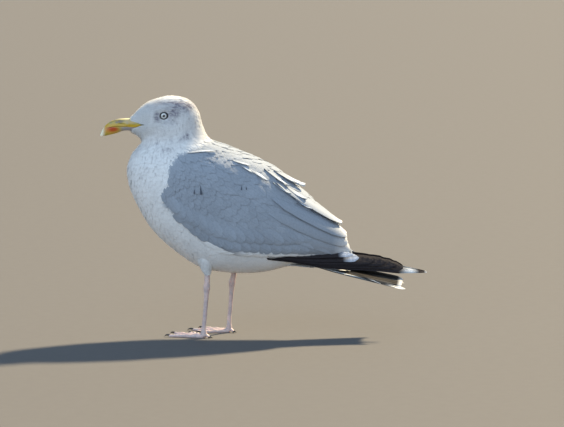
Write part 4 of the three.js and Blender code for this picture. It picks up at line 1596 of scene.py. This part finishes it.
@dataclass(frozen=True)
class Tail:
    """Twelve rectrices in a closed fan, with coverts under and over their bases."""

    base: tuple = (0.038, 0.121)
    tip: tuple = (0.217, 0.076)
    half_base: float = 0.012
    half_tip: float = 0.031
    half_feather: float = 0.0105
    count: int = 12
    tail_shaded: tuple = (1, 2, 3, 4, 5)  # dark ones painted in the wings' shadow, counted from each side
    tail_shaded_reach: float = 0.955
    dark_spans: tuple = ((0.62, 0.87), (0.0, 0.985), (0.0, 0.62))  # where the painted shadow runs, of edge, shaded and narrow quills
    roof: tuple = (0.008, 0.0105)  # rise of the middle over the tip, and drop of the edges

    @staticmethod
    def paint(sheaf: Sheaf, spans: Array) -> Array:
        """White, with painted shade, the wings' shadow, along each quill's span but for its edges."""
        vane = sheaf.vane_map()
        across = np.abs(vane[..., :1] - 0.5) * 2
        noise = clouds(sheaf.points() * np.array([0.35, 1, 1]), 0.006, 91)
        patches = 0.93 + 0.07 * ramp(noise, 0.30, 0.62)[..., None]
        start, end = spans[:, 0, None, None], spans[:, 1, None, None]
        along = ramp(vane[..., 1:], start - 0.04, start) * (1 - ramp(vane[..., 1:], end - 0.03, end))
        # the dark is painted shade, the wings' shadow over the white tail
        return mix(Tints.white * 0.85, Tints.tail_shade, (1 - ramp(across, 0.85, 1.7)) * along * patches)

    def build(self) -> None:
        """Makes the tail."""
        finish = PlumageFinish("tail_feathers", 0.7, 0.0, shaft=0.25, barbs=0.10, gloss=0.04).make()
        shares = QUILL_SHARES
        halves = self.half_feather * mix(0.35, 1.0, ramp(shares, 0, 0.5))
        halves = halves * np.sqrt(np.maximum(0.03, 1 - ramp(shares, 0.93, 1.0) ** 2))
        quills, spans = [], []
        for i in range(self.count):
            across = 2 * i / (self.count - 1) - 1
            # quills painted in the wings' shadow
            dark = i in self.tail_shaded or self.count - 1 - i in self.tail_shaded
            shorter = (self.tail_shaded_reach if dark else 1.0) - 0.03 * across * across
            reach_x, reach_z = self.tip[0] - self.base[0], self.tip[1] + self.roof[0] - self.base[1]
            root = (self.base[0], across * self.half_base, self.base[1] - abs(across) * 0.004)
            drop = abs(across) * self.roof[1]
            tip = (self.base[0] + reach_x * shorter, across * self.half_tip,
                   self.base[1] + reach_z * shorter - drop)
            width = halves * (0.5 if i in (0, self.count - 1) else 1.0)
            lean = (0.0, -1.0, 0.30 * np.sign(across))
            quills.append(Quill(root, tip, lean, shares, width, 0.05))
            spans.append(self.dark_spans[1 if dark else 0])
        for side in Side:  # a narrow white one between the outer shaded ones
            quills.append(Quill((0.120, side.value * 0.022, 0.1030), (0.1840, side.value * 0.0290, 0.0790),
                                (0.0, -1.0, 0.0), shares, halves * 0.34, 0.05))
            spans.append(self.dark_spans[2])
        sheaf = quill_sheaf(quills)
        sheaf.tints = self.paint(sheaf, np.array(spans))
        finish_piece(quill_piece("tail_feathers", sheaf, finish), "plumage_white", "tail")
        self.coverts(PlumageFinish("soft_white_feathers", sheen=0.3, barbs=0.06, relief=0.15).make())

    def coverts(self, finish: Material) -> None:
        """Makes the soft white feathers that clothe the tail's base from below."""
        rng = np.random.default_rng(77)
        shares = QUILL_SHARES[1:-1]
        profile = np.sqrt(np.maximum(0.04, 1 - ramp(shares, 0.55, 1.0) ** 2))
        halves = 0.0075 * (profile * mix(0.4, 1.0, ramp(shares, 0, 0.4)))
        quills = []
        for row, (x, z, reach) in enumerate((
                (0.0, 0.114, 0.046), (0.024, 0.112, 0.052), (0.048, 0.1105, 0.054), (0.072, 0.108, 0.056))):
            for i in range(9):
                across = 2 * (i + 0.5 * (row % 2)) / 9 - 0.9
                y = across * 0.020 + (rng.random() - 0.5) * 0.002
                depth = -0.002 * (1 - across * across)
                root = (x, y, z + depth)
                tip = (x + reach * (0.95 + 0.1 * rng.random()), y * 1.15, z + depth - reach * 0.12)
                quills.append(Quill(root, tip, (0.0, 1.0, 0.0), shares, halves, 0.12))
        sheaf = quill_sheaf(quills)
        sheaf.tints = np.broadcast_to(Tints.white * 0.97, sheaf.tints.shape).copy()
        finish_piece(quill_piece("undertail_coverts", sheaf, finish), "plumage_white")


# ---- Bill and eyes ----


@dataclass(frozen=True)
class Bill:
    """The closed bill in its two halves, parted along the mouth."""

    ridge: tuple = ((-0.186, 0.3275), (-0.203, 0.3283), (-0.220, 0.3268), (-0.231, 0.3225), (-0.2395, 0.3145),
                    (-0.245, 0.303))
    edge: tuple = ((-0.186, 0.308), (-0.204, 0.3098), (-0.213, 0.3086), (-0.220, 0.306), (-0.230, 0.3034),
                   (-0.2438, 0.3006))
    halves: tuple = (0.0065, 0.0076, 0.0062, 0.005, 0.0036, 0.0011)
    mouth: tuple = (0.47, 0.63, 0.58, 0.43, 0.33, 1.04)  # share of the way from ridge to edge
    parting: float = 0.00025
    rows: int = 64
    columns: int = 27
    nostril_at: tuple = (-0.2125, 0.3198, 0.0048, 0.0011)  # x, z, reach along, reach up
    nostril_depth: float = 0.0016

    def half(self, upper: bool) -> Array:
        """The rings of the upper or the lower half."""
        number = np.linspace(0, len(self.ridge) - 1, self.rows)
        ridge, edge = (along_curve(np.array(line), number) for line in (self.ridge, self.edge))
        half, mouth = along_curve(np.stack([self.halves, self.mouth], 1), number).T
        mouth = np.clip(mouth, 0.02, 0.995)
        reach = np.linalg.norm(ridge - edge, axis=1) / 2
        part = self.parting / np.maximum(reach, 0.001) / 2
        mouth = np.clip(mouth + (-part if upper else part), 0.02, 0.998)
        bound = np.arccos(1 - 2 * mouth)  # the section's angle at the mouth, from the ridge
        share = np.linspace(-1, 1, self.columns)
        if upper:
            angle = bound[:, None] * np.sign(share) * np.abs(share) ** 0.8
        else:
            angle = math.pi + (math.pi - bound)[:, None] * share
        centre, rise = (ridge + edge) / 2, (ridge - edge) / 2
        flat = centre[:, None] + rise[:, None] * np.cos(angle)[..., None]
        side = half[:, None] * np.sin(angle)
        ring = np.stack([flat[..., 0], side, flat[..., 1]], axis=-1)
        return (self.nostril(ring) if upper else ring)[None]

    def nostril(self, ring: Array) -> Array:
        """Presses a slit into each side of the upper half."""
        at_x, at_z, reach_x, reach_z = self.nostril_at
        ahead = ring[..., 0] - at_x
        along, up = ahead / reach_x, (ring[..., 2] - at_z + ahead * 0.05) / reach_z
        dent = np.exp(-(along**4) - up**2) * self.nostril_depth
        ring = ring.copy()
        ring[..., 1] -= np.sign(ring[..., 1]) * np.minimum(dent, np.abs(ring[..., 1]) * 0.6)
        return ring

    def build(self) -> None:
        """Makes both halves and the gape's corners."""
        horn = HornFinish().make()
        for name in ("bill_upper", "bill_lower"):
            rings = self.half(name == "bill_upper")
            finish_piece(tube_piece(f"{name}_horn", rings, ends_of(rings), horn), "bill", name)
        for side in Side:
            finish_piece(self.gape(side, horn), "bill")

    def gape(self, side: Side, horn: Material) -> Object:
        """The horn's pointed end over the face, back to the mouth's corner."""
        rows, columns = 34, 15
        top, bottom = (np.array(sorted([*line, GAPE])) for line in (HORN_TOP, HORN_BOTTOM))
        x = np.linspace(-0.2040, GAPE[0] - 0.0002, rows)[:, None]
        across = np.linspace(0, 1, columns)[None]
        high, low = (np.interp(x, line[:, 0], line[:, 1]) for line in (top, bottom))
        z = mix(low, high, across)
        x = x + 0 * z
        s, a = (v.reshape(x.shape) for v in BODY_FORM.find(x.ravel(), z.ravel(), side))
        edge = np.sin(across * math.pi) ** 0.5
        front = ramp(x, -0.2040, -0.2010)
        mouth = np.exp(-((z - np.interp(x, [-0.204, GAPE[0]], [0.3166, GAPE[1]])) / 0.0006) ** 2)
        height = mix(-0.0010, 0.0004, edge * front) - 0.0005 * mouth
        over, _ = BODY_FORM.place(s, a, height)
        under, _ = BODY_FORM.place(s, a, np.full(x.shape, -0.0030))
        rings = np.concatenate([over, under[:, ::-1]], axis=1)[None]
        return tube_piece(f"gape_{side.word}", rings, ends_of(rings), horn)


@dataclass(frozen=True)
class Eyes:
    """Eyeballs with their dark lid rings, their own dark skin with painted shade."""

    lid_inner: tuple = (0.0042, 0.0040)  # half sizes of the opening, along and up
    lid_outer: tuple = (0.0070, 0.0059)
    lid_rise: float = 0.0010
    lid_depth: float = 0.0062  # how far the ring's middle is in front of the eyeball's middle
    axis_cap: float = 0.12  # angle between the eyeball's poles and its nearest rings

    def build(self) -> None:
        """Makes both eyes."""
        # near black: the lids' own dark skin, darkened further with painted shade round the eye
        lid_finish = HideFinish("eye_lid_skin_and_shade", (0.012, 0.012, 0.014), (0.030, 0.027, 0.026), 0.45, 2400.0)
        lid_material = lid_finish.make()
        for side in Side:
            centre = np.array([EYE_AT[0], abs(EYE_AT[1]) * side.value, EYE_AT[2]])
            finish = EyeFinish(tuple(centre), f"eye_{side.word}_wet").make()
            lat, lon = ring_grid(self.axis_cap, math.pi - self.axis_cap, 22, 36)
            flat, out = np.sin(lat), side.value * np.cos(lat)
            ball = np.stack([flat * np.cos(lon), out, flat * np.sin(lon)], -1)
            poles = np.array([[0, side.value, 0], [0, -side.value, 0]])
            rings, poles = ((centre + part * EYE_RADIUS)[None] for part in (ball, poles))
            finish_piece(tube_piece(f"eyeball_{side.word}", rings, poles, finish), "eye", f"eye_{side.word}")
            finish_piece(self.lids(side, centre, lid_material), "eye")

    def lids(self, side: Side, centre: Array, material: Material) -> Object:
        """The closed ring of the lids round one eye."""
        around, section = 64, 12
        turn, ring = ring_grid(0.0, math.tau * (1 - 1 / around), around, section)
        from_inside = (np.cos(ring) + 1) / 2
        along, up = (mix(self.lid_inner[i], self.lid_outer[i], from_inside) for i in (0, 1))
        depth = self.lid_depth + self.lid_rise * np.sin(ring) - 0.0007 * from_inside
        points = np.stack([along * np.cos(turn), side.value * depth, up * np.sin(turn)], axis=-1)
        points = (centre + points).reshape(-1, 3)
        i, k = np.meshgrid(np.arange(around), np.arange(section), indexing="ij")
        j, m = (i + 1) % around, (k + 1) % section
        corners = np.stack([i * section + k, i * section + m, j * section + m, j * section + k], -1).ravel()
        sizes = np.full(around * section, 4)
        name = f"eyelids_{side.word}"
        mesh = mesh_of(name, points, corners, sizes, inside_out(points - centre, corners, sizes))
        return make_object(name, mesh, material)


# ---- Legs, feet and claws ----


@dataclass(frozen=True)
class LegWork:
    """Bare legs with webbed feet and claws."""

    toes: tuple = ((0.054, 0.007), (0.058, 0.0085), (0.045, 0.007))  # length and claw, outer to inner
    web_thickness: float = 0.0014
    web_reach: float = 0.94  # share of the toes' length that the web has
    web_notch: float = 0.17  # how far its front edge curves in, as a share of its reach
    web_top: float = 0.0015
    web_fold: float = 0.0004
    voxel: float = 0.0007

    @staticmethod
    def on_foot(leg: Leg, heading: float, distance: float, z: float) -> tuple[float, float, float]:
        """The point at a distance from the ankle along a heading."""
        angle = math.radians(heading)
        return (leg.foot[0] - distance * math.cos(angle), leg.foot[1] + distance * math.sin(angle), z)

    def limb(self, stops: list, rows: int, columns: int) -> tuple[Array, Array]:
        """The rings and poles of a round limb through stops of x, y, z and radius."""
        form = LimbForm(np.array(stops))
        rings = form.base(*ring_grid(0, len(stops) - 1, rows, columns))
        return rings[None], np.array([stops[0][:3], stops[-1][:3]], float)[None]

    def build(self) -> None:
        """Makes both legs."""
        hide = HideFinish("leg_skin", (0.76, 0.58, 0.52), (0.57, 0.45, 0.43), 0.45, 1100.0).make()
        dark_horn = HideFinish(
            "claw_horn", (0.020, 0.017, 0.016), (0.045, 0.038, 0.034), 0.35, 500.0, 0.1, 0.0).make()
        for leg in LEGS:
            word = leg.side.word
            mesh = mesh_of("leg", *joined([self.limb(self.shank_stops(leg), 70, 20), *self.foot(leg)]))
            piece = make_object(f"leg_{word}", mesh, hide)
            remesh = piece.modifiers.new("whole", "REMESH")
            remesh.mode, remesh.voxel_size, remesh.use_smooth_shade = "VOXEL", self.voxel, True
            smooth = piece.modifiers.new("soften", "SMOOTH")
            smooth.factor, smooth.iterations = 0.5, 3
            bake_modifiers(piece)
            self.settle(piece.data)
            finish_piece(piece, "leg", f"shank_{word}", f"foot_{word}")
            nodes = [f"claw_{word}_{toe}" for toe in ("outer", "middle", "inner", "hind")]
            rings, poles = (np.concatenate(part) for part in zip(*self.claws(leg)))
            claws = tube_piece(f"claws_{word}", rings, poles, dark_horn)
            self.settle(claws.data)
            finish_piece(claws, "claw", *nodes)
            finish_piece(Scutes(self, leg).build(), "leg")

    @staticmethod
    def settle(mesh: Mesh) -> None:
        """Rests what would be under the floor on it."""
        points = vertices_of(mesh)
        points[:, 2] = np.maximum(points[:, 2], 0.0)
        mesh.vertices.foreach_set("co", points.astype(np.float32).ravel())
        mesh.update()

    def shank_stops(self, leg: Leg) -> list:
        """Stops of the bare leg from the thigh's feathers down to the ankle."""
        (fx, fy), (hx, hy), (tx, ty) = leg.foot, leg.hock, leg.top
        z = leg.hock_z
        return [
            (tx, ty, leg.thigh_end + 0.008, 0.0042), ((tx + hx) / 2, ty, z + 0.010, 0.0042),
            (hx, hy, z, 0.0052), (hx - 0.0005, hy, z - 0.010, 0.0038),
            ((hx + fx) / 2, fy, (z + leg.ankle_z) / 2, 0.0032), (fx, fy, leg.ankle_z + 0.008, 0.0034),
            (fx, fy, leg.ankle_z, 0.0043), (fx, fy, 0.003, 0.0046),
        ]

    def toe_stops(self, leg: Leg, heading: float, length: float) -> list:
        """Stops of one front toe, thicker at its joints."""
        joints = (0.0, 0.16, 0.36, 0.46, 0.62, 0.72, 0.86, 1.0)
        radii = (0.0042, 0.0035, 0.0030, 0.0033, 0.0026, 0.0029, 0.0023, 0.0022)
        return [(*self.on_foot(leg, heading, length * share, r * 0.72), r) for share, r in zip(joints, radii)]

    def foot(self, leg: Leg) -> list[tuple[Array, Array]]:
        """Toes, hind toe and web of one foot."""
        parts = [self.limb(self.toe_stops(leg, heading, length), 60, 14)
                 for (length, _), heading in zip(self.toes, leg.headings)]
        parts.append(self.limb([
            (*self.on_foot(leg, leg.hind, reach, z), radius)
            for reach, z, radius in ((0.0, 0.007, 0.0026), (0.0054, 0.004, 0.0021), (0.009, 0.0022, 0.0017))
        ], 16, 12))
        return parts + self.webs(leg)

    def webs(self, leg: Leg) -> list[tuple[Array, Array]]:
        """The two webs between the front toes, as thin closed fans."""
        made, across, share = [], np.linspace(0, 1, 18), np.linspace(0.02, 1, 22)[:, None]
        for first, second in ((0, 1), (1, 2)):
            angle = np.radians(mix(leg.headings[first], leg.headings[second], across))
            reach = mix(self.toes[first][0], self.toes[second][0], across) * self.web_reach
            reach = reach * (1 - self.web_notch * np.sin(across * math.pi)) * share
            x, y = leg.foot[0] - reach * np.cos(angle), leg.foot[1] + reach * np.sin(angle)
            top = self.web_top + self.web_fold * np.sin(across * math.pi * 5) * share
            under = np.stack([x, y, top - self.web_thickness], -1)[:, ::-1]
            rings = np.concatenate([np.stack([x, y, top], -1), under], axis=1)[None]
            made.append((rings, ends_of(rings)))
        return made

    def claws(self, leg: Leg) -> list[tuple[Array, Array]]:
        """The four claws of one foot."""
        plan = [(heading, length, claw, 0.0024, 0.0016)
                for (length, claw), heading in zip(self.toes, leg.headings)]
        plan.append((leg.hind, 0.009, 0.0045, 0.0018, 0.0013))
        return [self.limb([
            (*self.on_foot(leg, heading, start - 0.0018, z), 0.0016),
            (*self.on_foot(leg, heading, start + length * 0.35, z + 0.0006), 0.0013),
            (*self.on_foot(leg, heading, start + length * 0.75, z), 0.0008),
            (*self.on_foot(leg, heading, start + length, z - drop), 0.0002),
        ], 20, 12) for heading, start, length, z, drop in plan]


@dataclass(frozen=True)
class Scutes:
    """The rows of plates down the front of a leg and over its toes."""

    work: LegWork
    leg: Leg
    sizes: tuple = (("Spacing", 0.0019), ("Length", 0.0024), ("Width", 0.92), ("Thickness", 0.0009))

    def rows(self) -> tuple[Array, Array, Array, list]:
        """Points of the rows, their outward directions, their widths and the edges between them."""
        runs = [(self.work.shank_stops(self.leg), 2.6, 6.4, (-1.0, 0.0, 0.0))]
        for (length, _), heading in zip(self.work.toes, self.leg.headings):
            runs.append((self.work.toe_stops(self.leg, heading, length), 0.6, 6.8, (0.0, 0.0, 1.0)))
        points, outs, widths, edges = [], [], [], []
        for stops, first, last, out in runs:
            row = along_curve(np.array(stops), np.linspace(first, last, 50))
            start = sum(len(p) for p in points)
            points.append(row[:, :3] + row[:, 3:] * 0.86 * np.array(out))
            outs.append(np.tile(out, (50, 1)))
            widths.append(row[:, 3] * 1.35)
            edges += [(start + i, start + i + 1) for i in range(49)]
        return np.concatenate(points), np.concatenate(outs), np.concatenate(widths), edges

    def tree(self, material: Material) -> NodeTree:
        """The tree that sets plates along the rows."""
        tree = bpy.data.node_groups.new("scute_rows", "GeometryNodeTree")
        tree.interface.new_socket("Geometry", in_out="INPUT", socket_type="NodeSocketGeometry")
        tree.interface.new_socket("Geometry", in_out="OUTPUT", socket_type="NodeSocketGeometry")
        for name, _ in self.sizes:
            tree.interface.new_socket(name, in_out="INPUT", socket_type="NodeSocketFloat")
        add = partial(add_node, tree)
        given = add("NodeGroupInput").outputs
        curve = add("GeometryNodeMeshToCurve", {0: given["Geometry"]}).outputs[0]
        spacing = {"Curve": curve, "Length": given["Spacing"]}
        spaced = add("GeometryNodeResampleCurve", spacing, mode="LENGTH").outputs[0]
        out, wide = (
            add("GeometryNodeInputNamedAttribute", {"Name": name}, data_type=kind).outputs["Attribute"]
            for name, kind in (("out", "FLOAT_VECTOR"), ("wide", "FLOAT")))
        width = add("ShaderNodeMath", {0: wide, 1: given["Width"]}, operation="MULTIPLY").outputs[0]
        ahead = add("GeometryNodeInputTangent").outputs[0]
        along = add("FunctionNodeAlignRotationToVector", {"Vector": ahead}, axis="X").outputs[0]
        turned = add("FunctionNodeAlignRotationToVector", {"Rotation": along, "Vector": out}, axis="Z",
                     pivot_axis="X").outputs[0]
        size = add("ShaderNodeCombineXYZ", {0: given["Length"], 1: width, 2: given["Thickness"]}).outputs[0]
        plate = add("GeometryNodeMeshUVSphere", {"Segments": 8, "Rings": 5, "Radius": 0.5}).outputs[0]
        plates = add("GeometryNodeInstanceOnPoints", {
            "Points": spaced, "Instance": plate, "Rotation": turned, "Scale": size}).outputs[0]
        real = add("GeometryNodeRealizeInstances", {0: plates}).outputs[0]
        painted = add("GeometryNodeSetMaterial", {"Geometry": real, "Material": material}).outputs[0]
        add("NodeGroupOutput", {0: painted})
        return tree

    def build(self) -> Object:
        """Makes one leg's plates."""
        name = f"scutes_{self.leg.side.word}"
        points, outs, widths, edges = self.rows()
        mesh = bpy.data.meshes.new(name)
        mesh.from_pydata(points.tolist(), edges, [])
        for label, kind, key, values in (
                ("out", "FLOAT_VECTOR", "vector", outs), ("wide", "FLOAT", "value", widths)):
            layer = mesh.attributes.new(label, kind, "POINT")
            layer.data.foreach_set(key, values.astype(np.float32).ravel())
        material = HideFinish(name, (0.78, 0.61, 0.55), (0.60, 0.48, 0.46), 0.42, 1500.0, 0.2).make()
        piece = make_object(name, mesh, material)
        modifier = piece.modifiers.new("scutes", "NODES")
        modifier.node_group = self.tree(material)
        sizes = dict(self.sizes)
        for item in modifier.node_group.interface.items_tree:
            if item.in_out == "INPUT" and item.name in sizes:
                modifier[item.identifier] = sizes[item.name]
        bake_modifiers(piece)
        return piece


# ---- Stage ----


@dataclass(frozen=True)
class Stage:
    """Floor, light and camera."""

    aim: tuple = (0.027, 0.0, 0.1847)
    distance: float = 5.5
    elevation: float = 7.0
    sensor: float = 36.0
    frame_width: float = 0.846  # what the picture's width covers at the aim
    floor_reach: float = 30.0

    def build(self) -> None:
        """Makes the stage."""
        bpy.context.scene.view_settings.view_transform = "Standard"
        self.camera()
        self.floor()
        self.light("sun_side", (1.9, 1.9, 2.7), 5.0, 9.6, (1.0, 0.83, 0.56))
        self.light("sky_side", (-1.4, -3.4, 2.6), 60.0, 1.30, (0.58, 0.78, 1.0))
        self.light("low_glow", (-0.8, -3.0, 0.35), 40.0, 0.50, (0.80, 0.90, 1.0))
        world = bpy.data.worlds.new("studio_air")
        bpy.context.scene.world = world
        world.use_nodes = True
        air = world.node_tree.nodes["Background"]
        air.inputs[0].default_value = (0.56, 0.74, 1.0, 1.0)
        air.inputs[1].default_value = 0.57

    def camera(self) -> None:
        """The camera at the bird's left, a little above it."""
        data = bpy.data.cameras.new("camera")
        data.sensor_width = self.sensor
        data.lens = self.sensor * self.distance / self.frame_width
        data.clip_end = 200.0
        angle = math.radians(self.elevation)
        way = Vector((0.0, -math.cos(angle), math.sin(angle)))
        bpy.context.scene.camera = self.aimed("camera", data, Vector(self.aim) + way * self.distance)

    def aimed(self, name: str, data: ID, at: Vector) -> Object:
        """A camera or light at a point, turned to the aim."""
        made = new_object(name, data)
        made.location = at
        made.rotation_euler = (Vector(self.aim) - at).to_track_quat("-Z", "Y").to_euler()
        return made

    def floor(self) -> None:
        """The floor under the bird."""
        corners = self.floor_reach * np.array([(-1, -1, 0), (1, -1, 0), (1, 1, 0), (-1, 1, 0)], float)
        mesh = mesh_of("floor", corners, np.arange(4), np.array([4]))
        make_object("floor", mesh, FloorFinish().make())

    def light(self, name: str, at: tuple, spread_degrees: float, power: float, colour: tuple) -> None:
        """A soft light from far off, from the direction of a point."""
        data = bpy.data.lights.new(name, "SUN")
        data.angle, data.energy, data.color = math.radians(spread_degrees), power, colour
        self.aimed(name, data, Vector(at))


def main() -> None:
    """Builds the gull on its stage."""
    logging.basicConfig(level=logging.INFO, format="%(message)s", force=True)
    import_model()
    Stage().build()
    Skin().build()
    WhiteCoat().build()
    GreyCoat().build()
    Primaries().build()
    Tail().build()
    Bill().build()
    Eyes().build()
    LegWork().build()
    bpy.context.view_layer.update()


if __name__ == "__main__":
    main()
